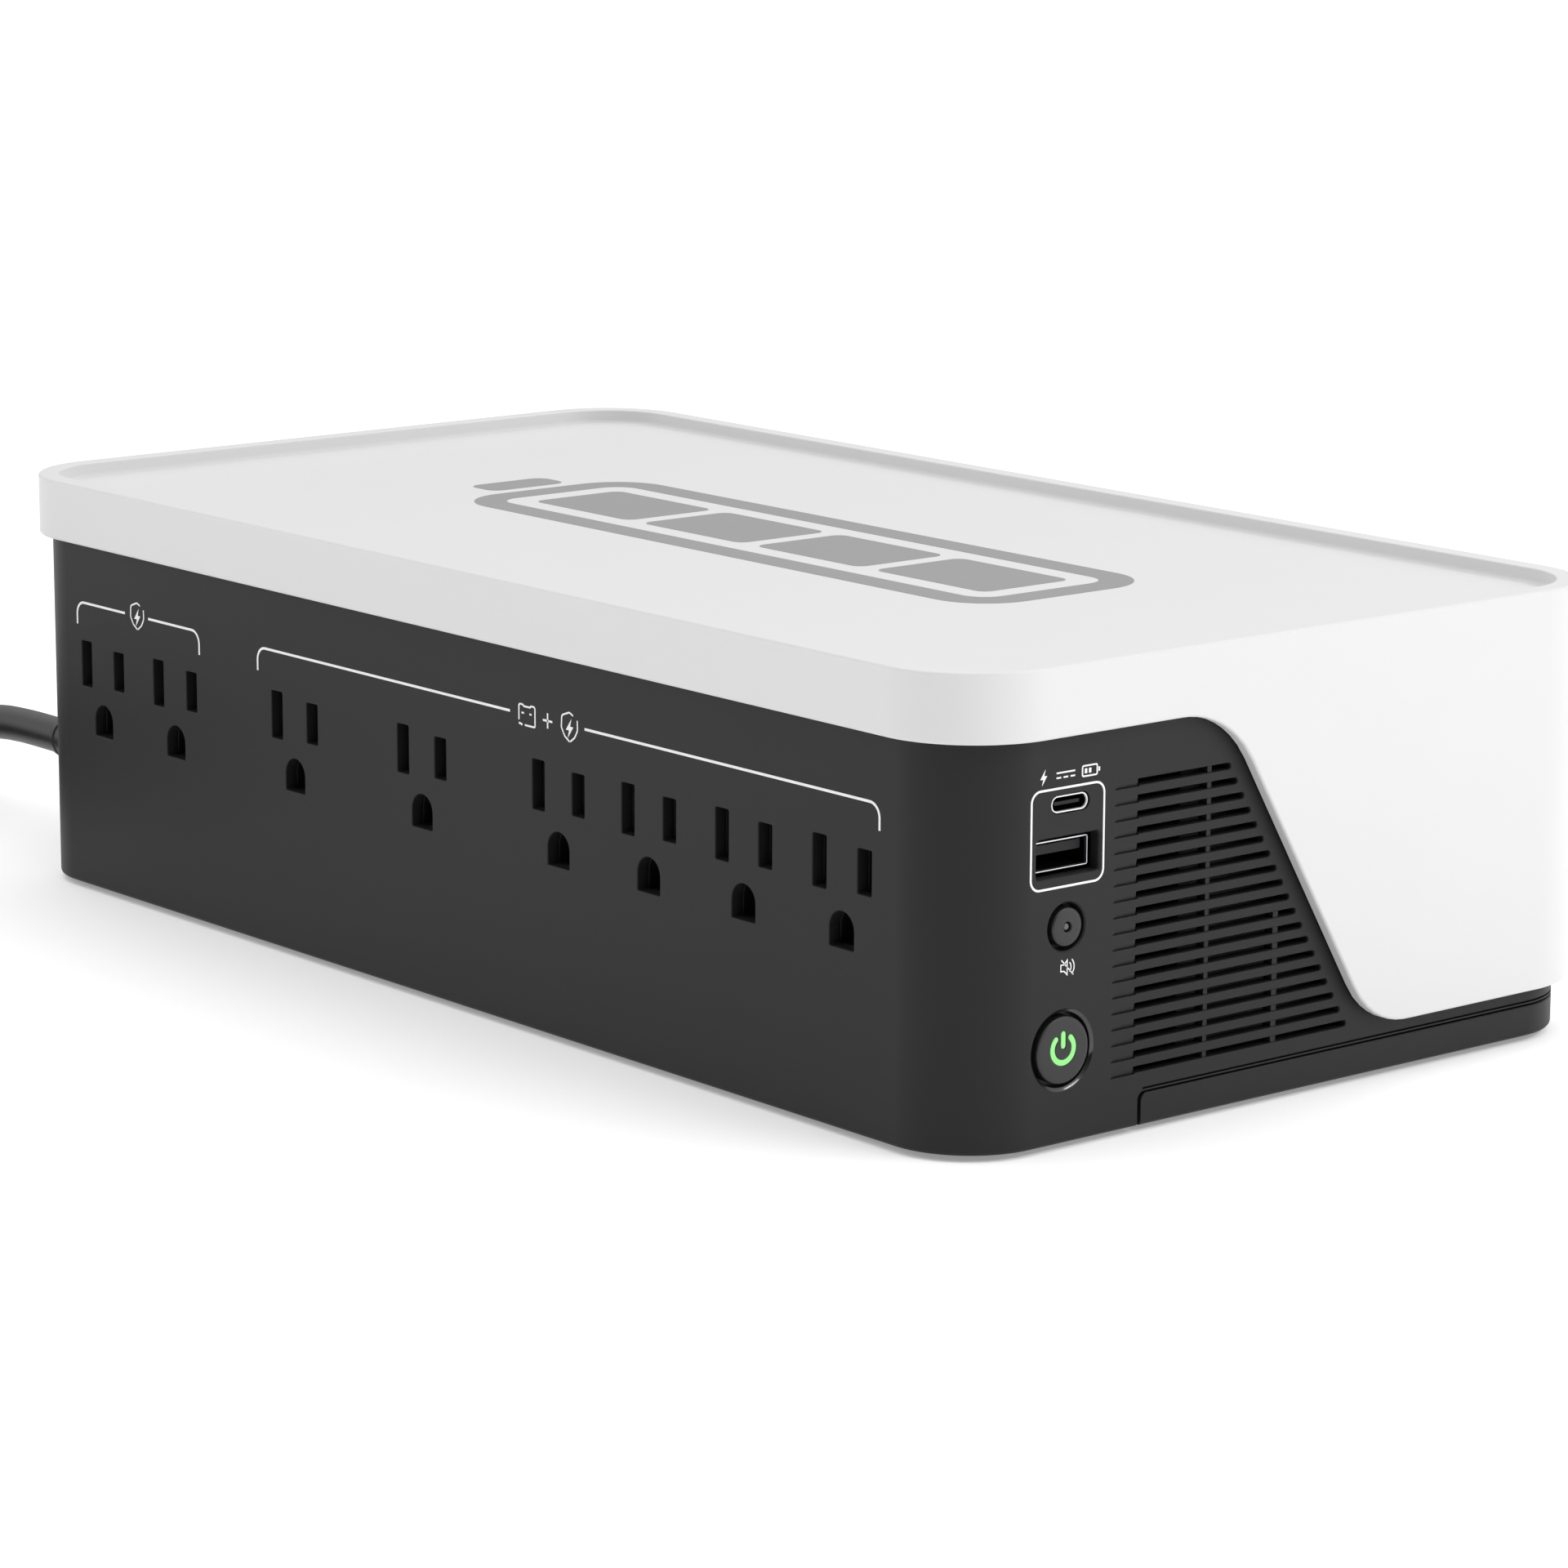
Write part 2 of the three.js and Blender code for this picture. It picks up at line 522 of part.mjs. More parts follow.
function mainsCord() {
  add('cord_strain_relief', turned(CORD.x, CORD.z, [
    [10, REAR - 6], [10, REAR - WALL - GAP], [7, REAR - WALL - GAP], [7, REAR + GAP],
    [8.6, REAR + GAP], [8.6, REAR + 2.6], [7, REAR + 3.6], [5.1, CORD.leavesRelief],
  ]), rubber);
  add('power_cord', tube(CORD_RUN, CORD.radius, 12), cordPlastic);
  add('cord_coil', coilRing(), cordPlastic);
  add('cord_tie', tie(), rubber);
  const tail = [TAIL.leavesCoil, (TAIL.leavesCoil + TAIL.plug) / 2, TAIL.plug + GAP];
  add('cord_tail', tube(tail.map((y) => [TAIL.x, y, TAIL.z]), CORD.radius, 3), cordPlastic);
  plug();
}

function coilRing() {
  const { radius, halfWidth, bottom, top } = COIL;
  const ease = 3.5;
  const profile = [
    [radius - halfWidth, bottom + ease], [radius - halfWidth + ease, bottom],
    [radius + halfWidth - ease, bottom], [radius + halfWidth, bottom + ease],
    [radius + halfWidth, top - 4], [radius + halfWidth - 5, top],
    [radius - halfWidth + 5, top], [radius - halfWidth, top - 4], [radius - halfWidth, bottom + ease],
  ];
  const ring = new THREE.LatheGeometry(profile.map(([r, z]) => new THREE.Vector2(r, z)), 32);
  return solid(ring.rotateX(Math.PI / 2).translate(COIL.x, COIL.y, 0));
}

// A strap round the coil's section, on the side away from the cord's way in.
function tie() {
  const { x, y, radius, halfWidth, top } = COIL;
  const [y0, y1] = [y + radius - halfWidth, y + radius + halfWidth];
  const around = (grow, z) => block([x - 5, x + 5], [y0 - 0.6 - grow, y1 + 0.4 + grow], z);
  const hole = block([x - 6, x + 6], [y0 - 0.6, y1 + 0.4], [COIL.bottom - GAP, top + GAP]);
  return cut(around(1, [0, top + 1.3]), hole);
}

function plug() {
  const { x, z, plug: end } = TAIL;
  const face = end - 46;
  const body = join(
    alongY(rectangle(x, z, 27, 2 * z, 9), [face, face + 28], 4),
    turned(x, z, [[9.4, face + 27], [9.4, face + 30], [5.2, end]]),
  );
  add('plug_body', body, cordPlastic);
  const bladeZ = z + 4.5;
  [['plug_blade_neutral', -1], ['plug_blade_line', 1]].forEach(([name, side]) => {
    const at = x + (side * BLADES.apart) / 2;
    add(name, block([at - 0.75, at + 0.75], [face - 18, face - GAP], [bladeZ - 3.1, bladeZ + 3.1]), brass);
  });
  const groundPin = [[1.4, face - 20.6], [2.35, face - 18.6], [2.35, face - GAP]];
  add('plug_ground_pin', turned(x, bladeZ - 11.9, groundPin, 16), brass);
}

add('base_shell', baseShell(), blackPlastic);
add('top_cover', topCover(), whitePlastic);
add('battery_door', batteryDoor(), blackPlastic);
buttons();
frontElectronics();
outletBlock();
transformer();
electronics();
battery();
fastenings();
mainsCord();

export default group;
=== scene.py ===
from math import atan2, copysign, cos, hypot, pi, radians, sin, sqrt, tan

import bmesh
import bpy
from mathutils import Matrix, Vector


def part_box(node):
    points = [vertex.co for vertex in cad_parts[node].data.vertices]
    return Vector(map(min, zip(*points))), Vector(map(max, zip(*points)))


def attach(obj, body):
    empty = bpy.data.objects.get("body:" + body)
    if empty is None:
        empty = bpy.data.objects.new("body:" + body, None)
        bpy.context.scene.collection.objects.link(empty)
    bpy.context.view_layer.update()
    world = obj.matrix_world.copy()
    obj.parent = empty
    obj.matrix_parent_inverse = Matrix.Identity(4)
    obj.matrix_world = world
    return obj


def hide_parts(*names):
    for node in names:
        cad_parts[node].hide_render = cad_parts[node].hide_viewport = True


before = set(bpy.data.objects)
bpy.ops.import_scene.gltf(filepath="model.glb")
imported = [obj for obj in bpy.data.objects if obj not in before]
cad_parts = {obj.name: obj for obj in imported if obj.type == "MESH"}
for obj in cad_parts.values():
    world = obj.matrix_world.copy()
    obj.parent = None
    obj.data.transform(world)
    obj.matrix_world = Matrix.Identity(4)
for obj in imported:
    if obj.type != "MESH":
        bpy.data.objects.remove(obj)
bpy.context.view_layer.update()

# All lengths below are millimetres, and MM turns them into the frame's metres.
MM = 0.001


def box(node):
    low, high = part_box(node)
    return low / MM, high / MM


def middle(node):
    low, high = box(node)
    return (low + high) / 2


# Driving dimensions, from the frame where it has them.
BASE_LOW, BASE_HIGH = box("base_shell")
COVER_HIGH = box("top_cover")[1]
LEFT, FRONT, UNDERSIDE = BASE_LOW
RIGHT, REAR, BASE_TOP = BASE_HIGH
RIM_TOP = COVER_HIGH.z
SKIRT_BOTTOM = 11.2
PROUD = COVER_HIGH.x - RIGHT  # how far the cover stands outside the base
CORNER = 17.5  # plan radius of the base's corners
WALL = 2.5
GAP = 0.3  # between pieces that move or fit together
THROUGH = WALL + 1  # the depth of a tool that cuts through a wall
OUTSIDE = 5  # how far a tool may reach outside the part
FLOOR = UNDERSIDE + WALL
POST_TOP = FLOOR + 4
TRAY_TOP = RIM_TOP - 3
TRAY_RIM = 4.5
BAND_BOTTOM = 77.3
BAND_CORNER = {"x": -20, "radius": 20.5}  # where the cover's edge turns down on the front and rear
SKIRT_CORNER = {"x": 19.2, "radius": 17}  # and where it turns level again

OUTLETS = [31.5, 59.8, 104.5, 149.2, 194.3, 222.6, 251.1, 279.4]  # ground holes, from the rear
BLADES = {"z": 50.7, "apart": 12.7, "width": 3.9, "neutral": 10, "line": 8.5}
GROUND = {"width": 6.9, "bottom": 35.4, "top": 42.4}
VENTS = {"x": -40.2, "top": 66.1, "pitch": 3, "height": 1.2, "end": -16.85, "slant": 0.589}
VENT_RIBS = [(-22, 1, 0), (-4.15, 1.3, 10)]  # middle, width and first row
FRONT_ROWS = 19
REAR_ROWS = 9
RAMP_START = -46  # the shallow ramps that lead into the slots begin here
DOOR = {"left": -39.1, "sill": -33, "rear": 6.3, "line": 8.5, "opening": 7.8, "top": 7.4}
POWER = middle("power_button")
MUTE = middle("mute_button")
POWER_CAP = {"radius": 6.33, "face": 6.3}
POWER_DISH = {"mouth": 7.1, "flare": 0.6, "depth": 0.42}
MUTE_CAP = {"radius": 3.81, "face": 3.6}
MUTE_DISH = {"mouth": 4.5, "flare": 0.25, "depth": 0.25}
USB_A = middle("usb_a_shell")
USB_C = middle("usb_c_shell")
BREAKER = middle("breaker_reset_button")
SCREWS = ["front_left", "rear_left", "rear_right", "middle_right"]
FEET = {"front_left": "housing", "rear_left": "housing", "rear_right": "housing",
        "front_right": "battery_door"}  # and the body that each one rides on

# The cord: its route to the coil, then the coil and the tail.
CORD_RADIUS = 4
CORD_RUN = [
    [-56, 184.3, 22.7], [-56, 188, 22.7], [-56, 192, 22.7], [-56, 196, 22.7], [-56, 200, 22.65],
    [-56, 204, 22.5], [-56, 208, 22.3], [-56, 212, 21.9], [-56, 216, 21.2], [-56, 220, 20.3],
    [-56, 224, 19.1], [-56, 228, 17.8], [-56, 232, 16.3], [-56, 236, 14.7], [-56, 240, 13],
    [-56, 241.6, 12.4],
]
COIL = {"x": -112, "y": 272, "low": 5.3, "high": 12.3, "hump": 1.1, "turns": 4.5}
COIL_RADII = [56, 48, 40, 44, 52]  # of each turn, the first three below the last two
COIL_SHIFT = 0.2  # the share of a turn in which it moves to the next radius
POINTS_PER_TURN = 60
TAIL_X, _, TAIL_Z = middle("cord_tail")
PLUG_END = box("plug_body")[1].y

# Camera and room.
CAMERA = {"at": (-0.6954, -0.8473, 0.2664), "yaw": 39.595, "pitch": 11.936, "roll": 0.2, "lens": 123.0}
SKY = {"low": 0.3, "high": 1.35, "dim": 0.12}
LIGHTS = [  # name, place, target, size and watts
    ("key_right", (0.95, -1.35, 0.3), (0, -0.1, 0.03), (1.0, 0.55), 2.9),
    ("fill_rear_left", (-1.05, 1.1, 0.4), (-0.05, 0, 0.05), (1.0, 0.7), 1.9),
    ("spark_front", (0.25, -0.8, 0.66), (-0.05, -0.15, 0.03), (0.55, 0.12), 2.2),
]


def added(name, data):
    """A new object in the scene."""
    obj = bpy.data.objects.new(name, data)
    bpy.context.scene.collection.objects.link(obj)
    return obj


def make_camera():
    data = bpy.data.cameras.new("camera")
    data.lens = CAMERA["lens"]
    data.sensor_width = 36
    camera = added("camera", data)
    camera.location = CAMERA["at"]
    camera.rotation_euler = (radians(90 - CAMERA["pitch"]), 0, radians(-CAMERA["yaw"]))
    camera.rotation_euler.rotate_axis("Z", radians(CAMERA["roll"]))
    bpy.context.scene.camera = camera


make_camera()


def bend(*degrees):
    """A quarter bend of radius 1: how far it is from each of its two tangents, at these angles."""
    return [(1 - cos(a), 1 - sin(a)) for a in map(radians, degrees)]


# Solids: lists of points and faces in millimetres.
QUARTER = bend(0, 30, 60, 90)
FINE_QUARTER = bend(0, 22.5, 45, 67.5, 90)
LEAST_LEAN = 0.4  # keeps a stroke's corner from running far out at a sharp bend


def merged(*solids):
    points, faces = [], []
    for more_points, more_faces in solids:
        start = len(points)
        points += more_points
        faces += [[start + i for i in face] for face in more_faces]
    return points, faces


def loft(rings, closed=False):
    """Skins rings of equally many points, and caps both ends unless the row of rings is closed."""
    size, count = len(rings[0]), len(rings)
    points = [tuple(point) for ring in rings for point in ring]
    faces = []
    for r in range(count if closed else count - 1):
        a, b = r * size, (r + 1) % count * size
        faces += [[a + i, a + (i + 1) % size, b + (i + 1) % size, b + i] for i in range(size)]
    if not closed:
        faces += [list(range(size)), [(count - 1) * size + i for i in range(size)]]
    return points, faces


def arc(centre, radius, start, end, steps):
    """Points on an arc between two angles in degrees."""
    angles = [radians(start + (end - start) * i / steps) for i in range(steps + 1)]
    return [(centre[0] + radius * cos(a), centre[1] + radius * sin(a)) for a in angles]


def rounded(corners, grow=0.0, steps=6, closed=True):
    """Points along a line through corners (u, v, radius), each rounded by an arc of its radius.
    A closed line runs anticlockwise, and grow moves it outward."""
    line = []
    for i, (u, v, radius) in enumerate(corners):
        if radius == 0 or (not closed and i in (0, len(corners) - 1)):
            line.append((u, v))
            continue
        here = Vector((u, v))
        back = (Vector(corners[i - 1][:2]) - here).normalized()
        ahead = (Vector(corners[(i + 1) % len(corners)][:2]) - here).normalized()
        half = back.angle(ahead) / 2
        centre = here + (back + ahead).normalized() * (radius / sin(half))
        first = here + back * (radius / tan(half)) - centre
        turn = copysign(pi - 2 * half, ahead.cross(back))
        reach = radius + grow * copysign(1, turn)
        start = atan2(first.y, first.x)
        for k in range(steps + 1):
            angle = start + turn * k / steps
            line.append((centre.x + reach * cos(angle), centre.y + reach * sin(angle)))
    return line


def rectangle(u0, u1, v0, v1, radius):
    return [(u0, v0, radius), (u1, v0, radius), (u1, v1, radius), (u0, v1, radius)]


def disc(u, v, radius):
    """A circle as a square whose corners are rounded off altogether."""
    size = radius * 1.0001
    return rectangle(u - size, u + size, v - size, v + size, radius)


# Where an outline (u, v) at a depth into the part lies, for each face of the part.
def on_front(u, v, depth):
    return u, FRONT + depth, v


def on_rear(u, v, depth):
    return u, REAR - depth, v


def on_left(u, v, depth):
    """Here u is measured from the rear, as one reads the outlets."""
    return LEFT + depth, REAR - u, v


def on_tray(u, v, depth):
    return u, v, TRAY_TOP - depth


def in_plan(u, v, height):
    return u, v, height


def in_section(u, v, x):
    return x, u, v


def prism(line, plane, depths):
    return loft([[plane(u, v, d) for u, v in line] for d in depths])


def hole(corners, plane, depth, ease, steps=4):
    """A tool that cuts a hole with a rounded mouth."""
    sections = [(-1.0, ease)]
    sections += [(ease * c, ease * s) for c, s in QUARTER]
    sections.append((depth, 0.0))
    return loft([[plane(u, v, d) for u, v in rounded(corners, grow, steps)] for d, grow in sections])


def turned(centre, profile, plane, sides=64, closed=False):
    """A round solid. The profile is [radius, depth] from end to end, or all round if it is closed."""
    return loft([[plane(*p, d) for p in arc(centre, r, 0, 360, sides)[:-1]] for r, d in profile], closed)


def block(x, y, z):
    return prism([(x[0], y[0]), (x[1], y[0]), (x[1], y[1]), (x[0], y[1])], in_plan, z)


def stroke(line, width, plane, depths, closed=False, round_ends=False):
    """A flat ribbon of the given width along a line."""
    points = [Vector(p) for p in line]
    sections = []
    for i, here in enumerate(points):
        before = points[i - 1] if closed or i > 0 else None
        after = points[(i + 1) % len(points)] if closed or i < len(points) - 1 else None
        ways = [(b - a).normalized() for a, b in ((before, here), (here, after)) if a and b]
        way = sum(ways, Vector((0, 0))).normalized()
        lean = max(way.dot(ways[0]), LEAST_LEAN)
        sections.append((here, way, width / 2 / lean))
    if round_ends:
        first, last = sections[0], sections[-1]
        for angle in (30, 60, 80):
            out = width / 2 * sin(radians(angle))
            half = width / 2 * cos(radians(angle))
            sections.insert(0, (first[0] - first[1] * out, first[1], half))
            sections.append((last[0] + last[1] * out, last[1], half))
    rings = []
    for here, way, half in sections:
        side = Vector((-way.y, way.x)) * half
        left, right = here + side, here - side
        rings.append([plane(*p, d) for p, d in
                      ((left, depths[0]), (right, depths[0]), (right, depths[1]), (left, depths[1]))])
    return loft(rings, closed)


def sweep(path, radius, sides=20):
    """A round tube along a path."""
    points = [Vector(p) for p in path]
    side = None
    rings = []
    for i, here in enumerate(points):
        way = (points[min(i + 1, len(points) - 1)] - points[max(i - 1, 0)]).normalized()
        if side is None:
            side = way.orthogonal().normalized()
        side = (side - way * side.dot(way)).normalized()
        across = way.cross(side)
        rings.append([here + (side * c + across * s) * radius
                      for c, s in arc((0, 0), 1, 0, 360, sides)[:-1]])
    return loft(rings)


# Objects.
SHARP = radians(34)


def shape(solid, name="tool"):
    """An object from a solid, with its faces pointing out."""
    points, faces = solid
    mesh = bpy.data.meshes.new(name)
    mesh.from_pydata([Vector(p) * MM for p in points], [], faces)
    work = bmesh.new()
    work.from_mesh(mesh)
    bmesh.ops.recalc_face_normals(work, faces=work.faces)
    work.to_mesh(mesh)
    work.free()
    return added(name, mesh)


def combine(obj, operation, solid):
    """Joins a solid to obj, cuts it away or keeps only what they share."""
    tool = shape(solid)
    change = obj.modifiers.new("combine", "BOOLEAN")
    change.solver = "MANIFOLD"
    change.operation = operation
    change.object = tool
    evaluated = obj.evaluated_get(bpy.context.evaluated_depsgraph_get())
    mesh = bpy.data.meshes.new_from_object(evaluated)
    obj.modifiers.clear()
    old = obj.data
    obj.data = mesh
    bpy.data.meshes.remove(old)
    bpy.data.meshes.remove(tool.data)


def cut(obj, *solids):
    for solid in solids:
        combine(obj, "DIFFERENCE", solid)


def join(obj, *solids):
    for solid in solids:
        combine(obj, "UNION", solid)


def taken(obj):
    """Removes an object and gives its solid."""
    mesh = obj.data
    solid = ([tuple(v.co / MM) for v in mesh.vertices], [list(p.vertices) for p in mesh.polygons])
    bpy.data.objects.remove(obj)
    return solid


def shade(obj):
    """Smooth shading inside curved surfaces, with flat faces kept flat."""
    mesh = obj.data
    mesh.shade_smooth()
    mesh.set_sharp_from_angle(angle=SHARP)
    weighted = obj.modifiers.new("normals", "WEIGHTED_NORMAL")
    weighted.keep_sharp = True


def piece(name, what, look, replaced=(), body="housing"):
    """A finished piece of the visual model, from a solid or from an object."""
    obj = shape(what, name) if isinstance(what, tuple) else what
    obj.name = name
    obj.data.name = name
    obj.data.materials.clear()
    obj.data.materials.append(look)
    shade(obj)
    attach(obj, body)
    if replaced:
        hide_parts(*replaced)
    return obj


# Materials.
def linear(colour):
    """An sRGB colour such as 0x2e2e2f as linear values."""
    values = [(colour >> shift & 255) / 255 for shift in (16, 8, 0)]
    return [v / 12.92 if v <= 0.04045 else ((v + 0.055) / 1.055) ** 2.4 for v in values]


def node(tree, kind, **inputs):
    made = tree.nodes.new(kind)
    for name, value in inputs.items():
        made.inputs[name.replace("_", " ")].default_value = value
    return made


def surface(name, colour, roughness, grain=0.3, depth=0.004, mottle=0.06, metallic=0.0, coat=0.0,
            glow=0.0, specular=0.5, bands=None):
    """Moulded or plated surface: a base colour that varies a little, a fine grain in mm with its depth,
    and a gloss that varies with it. Bands are ridges across one axis: (direction, spacing, depth), where
    the ridges come about two spacings apart."""
    patch = 18
    gloss_spread = 0.08
    look = bpy.data.materials.new(name)
    look.use_nodes = True
    tree = look.node_tree
    shader = tree.nodes["Principled BSDF"]
    for label, value in (("Metallic", metallic), ("Specular IOR Level", specular), ("Coat Weight", coat)):
        shader.inputs[label].default_value = value
    place = tree.nodes.new("ShaderNodeTexCoord")
    link = tree.links.new

    patches = node(tree, "ShaderNodeTexNoise", Scale=1 / (patch * MM), Detail=2.0)
    link(place.outputs["Object"], patches.inputs["Vector"])
    rgb = linear(colour)
    tint = node(tree, "ShaderNodeMix")
    tint.data_type = "RGBA"
    tint.inputs[6].default_value = (*[c * (1 - mottle) for c in rgb], 1)
    tint.inputs[7].default_value = (*[min(c * (1 + mottle), 1) for c in rgb], 1)
    link(patches.outputs["Fac"], tint.inputs[0])
    link(tint.outputs[2], shader.inputs["Base Color"])

    grains = node(tree, "ShaderNodeTexNoise", Scale=1 / (grain * MM), Detail=3.0)
    link(place.outputs["Object"], grains.inputs["Vector"])
    gloss = node(tree, "ShaderNodeMapRange", To_Min=roughness * (1 - gloss_spread),
                 To_Max=roughness * (1 + gloss_spread))
    link(grains.outputs["Fac"], gloss.inputs["Value"])
    link(gloss.outputs["Result"], shader.inputs["Roughness"])

    bump = node(tree, "ShaderNodeBump", Strength=1.0, Distance=depth * MM)
    link(grains.outputs["Fac"], bump.inputs["Height"])
    last = bump
    if bands:
        direction, spacing, band_depth = bands
        wave = node(tree, "ShaderNodeTexWave", Scale=1 / (2 * pi * spacing * MM))
        wave.bands_direction = direction
        link(place.outputs["Object"], wave.inputs["Vector"])
        last = node(tree, "ShaderNodeBump", Strength=1.0, Distance=band_depth * MM)
        link(wave.outputs["Fac"], last.inputs["Height"])
        link(bump.outputs["Normal"], last.inputs["Normal"])
    link(last.outputs["Normal"], shader.inputs["Normal"])
    if glow:
        shader.inputs["Emission Color"].default_value = (*rgb, 1)
        shader.inputs["Emission Strength"].default_value = glow
    return look


BLACK = surface("moulded_black", 0x202021, 0.48, grain=0.35, specular=0.23)
POLISHED = surface("polished_black", 0x141415, 0.15, grain=0.6, depth=0.0, specular=0.9)
WHITE = surface("moulded_white", 0xdddcdc, 0.42, grain=0.35, depth=0.003, mottle=0.008, specular=0.4)
BUTTON = surface("button_black", 0x1c1c1d, 0.4, depth=0.003)
GREEN_LIGHT = surface("lit_green", 0x88d47e, 0.35, mottle=0.02, glow=0.35, specular=0.3)
GREEN_EDGE = surface("green_edge", 0x156b20, 0.4, mottle=0.05)
PALE_LIGHT = surface("pale_lens", 0x646462, 0.3, mottle=0.03)
PRINT = surface("white_ink", 0xf0f0f0, 0.6, grain=0.5, mottle=0.03)
GREY_PRINT = surface("grey_ink", 0x929192, 0.55, grain=0.5, mottle=0.02)
RUBBER = surface("foot_rubber", 0x1b1b1b, 0.85, grain=0.5, depth=0.02)
JACKET = surface("cord_jacket", 0x252526, 0.38, grain=0.6, depth=0.01)
STRAP = surface("woven_strap", 0x161617, 0.95, grain=0.25, depth=0.08, bands=("X", 1.2, 0.1))
BOARD = surface("circuit_board", 0x1e5a36, 0.45, grain=0.8, depth=0.01, mottle=0.2, coat=0.4)
# Nearly white and barely metallic, so the USB-C rim reads bright all round: plated metal with a painted
# sheen.
NICKEL_AND_SHEEN = surface("nickel_plate_and_sheen", 0xf6f6f5, 0.3, grain=0.4, depth=0.001, mottle=0.02, metallic=0.15)
STEEL = surface("bright_steel", 0xc4c7cb, 0.28, grain=0.4, depth=0.003, metallic=1.0)
LAMINATED = surface("laminated_steel", 0x8f9296, 0.45, grain=0.4, metallic=0.9, bands=("X", 0.6, 0.06))
BRASS = surface("brass", 0xc9a566, 0.32, grain=0.5, metallic=1.0)
GOLD = surface("contact_gold", 0xe0b860, 0.25, grain=0.4, depth=0.002, metallic=1.0)
COPPER = surface("wound_copper", 0xa4552c, 0.35, metallic=0.85, bands=("Z", 0.9, 0.2))
ALUMINIUM = surface("brushed_aluminium", 0xb4b7bb, 0.38, metallic=1.0, bands=("Z", 0.25, 0.01))
CASE = surface("battery_case", 0x17181a, 0.6, grain=0.7, depth=0.02)
RED = surface("red_plastic", 0xa3221c, 0.4)
FOAM = surface("foam", 0x3b3b3b, 0.98, grain=0.6, depth=0.2, mottle=0.2)
COMPONENT = surface("component_black", 0x0f0f10, 0.5, grain=0.4, depth=0.006)
# Nearly pure black for the socket tongues and the sheets inside the shells: the tongues' own black plastic,
# darkened further as painted shade.
SOCKET_SHADE_BLACK = surface("socket_black_and_shade", 0x050505, 0.4, grain=0.4, depth=0.002, specular=0.3)
BLUE = surface("blue_coating", 0x2f4f8f, 0.4, grain=1.5, depth=0.02, coat=0.3)


# The cord, its coil and what is on it.
def smooth(share):
    share = min(max(share, 0.0), 1.0)
    return share * share * (3 - 2 * share)


def coil_path():
    """Down from the end of the run into the first turn, round every turn, and level out to the plug."""
    _, y0, z0 = CORD_RUN[-1]
    lead = [(TAIL_X + 2 * (COIL["x"] - TAIL_X), y0 + (COIL["y"] - y0) * i / 10,
             COIL["low"] + (z0 - COIL["low"]) * (1 - i / 10) ** 2) for i in range(1, 10)]
    turns = []
    for i in range(int(COIL["turns"] * POINTS_PER_TURN) + 1):
        turn, share = divmod(i / POINTS_PER_TURN, 1)
        turn = int(turn)
        moving = (share - 1 + COIL_SHIFT) / COIL_SHIFT
        moved = smooth(moving)
        following = COIL_RADII[min(turn + 1, 4)]
        radius = COIL_RADII[turn] + (following - COIL_RADII[turn]) * moved
        level = [0, 0, moved, 1, 1][turn]
        hump = sin(pi * min(max(moving, 0), 1)) if turn == 3 else 0
        angle = 2 * pi * share
        turns.append((COIL["x"] + radius * cos(angle), COIL["y"] + radius * sin(angle),
                      COIL["low"] + (COIL["high"] - COIL["low"]) * level + COIL["hump"] * hump))
    tail = [(TAIL_X, COIL["y"] + (PLUG_END - COIL["y"]) * i / 12,
             COIL["high"] + (TAIL_Z - COIL["high"]) * i / 12) for i in range(1, 13)]
    return lead + turns + tail


def mains_cord():
    path = [tuple(p) for p in CORD_RUN] + coil_path()
    tube = piece("mains_cord", sweep(path, CORD_RADIUS), JACKET,
                 ["power_cord", "cord_coil", "cord_tail"])
    relief = strain_relief()
    body = plug_body()
    blades = plug_blades()
    coil_strap()


def strain_relief():
    """A tapered sleeve behind a flange, with grooves round it."""
    tip = REAR - box("cord_strain_relief")[1].y
    profile = [[10, 6], [10, WALL + GAP], [7, WALL + GAP], [7, -GAP], [7.7, -GAP], [8.0, -GAP - 0.3],
               [8.0, -1.2], [7.7, -1.5], [6.4, -1.9]]
    start, end = -2.6, tip + 1.6
    ribs = 7
    pitch = (end - start) / ribs
    for i in range(ribs):
        at = start + pitch * i
        radius = 6.2 - 1.6 * i / ribs
        groove = max(radius - 0.9, 4.3)
        section = [(radius, 0), (radius - 0.05, 0.5), (radius - 0.3, 0.6), (groove, 0.65), (groove, 0.9),
                   (radius - 0.5, 0.95)]
        profile += [[r, at + pitch * share] for r, share in section]
    profile += [[4.6, end], [4.5, tip + 0.3], [4.3, tip]]
    sleeve = turned(middle("cord_strain_relief").xz, profile, on_rear, 48)
    return piece("strain_relief_sleeve", sleeve, JACKET, ["cord_strain_relief"])


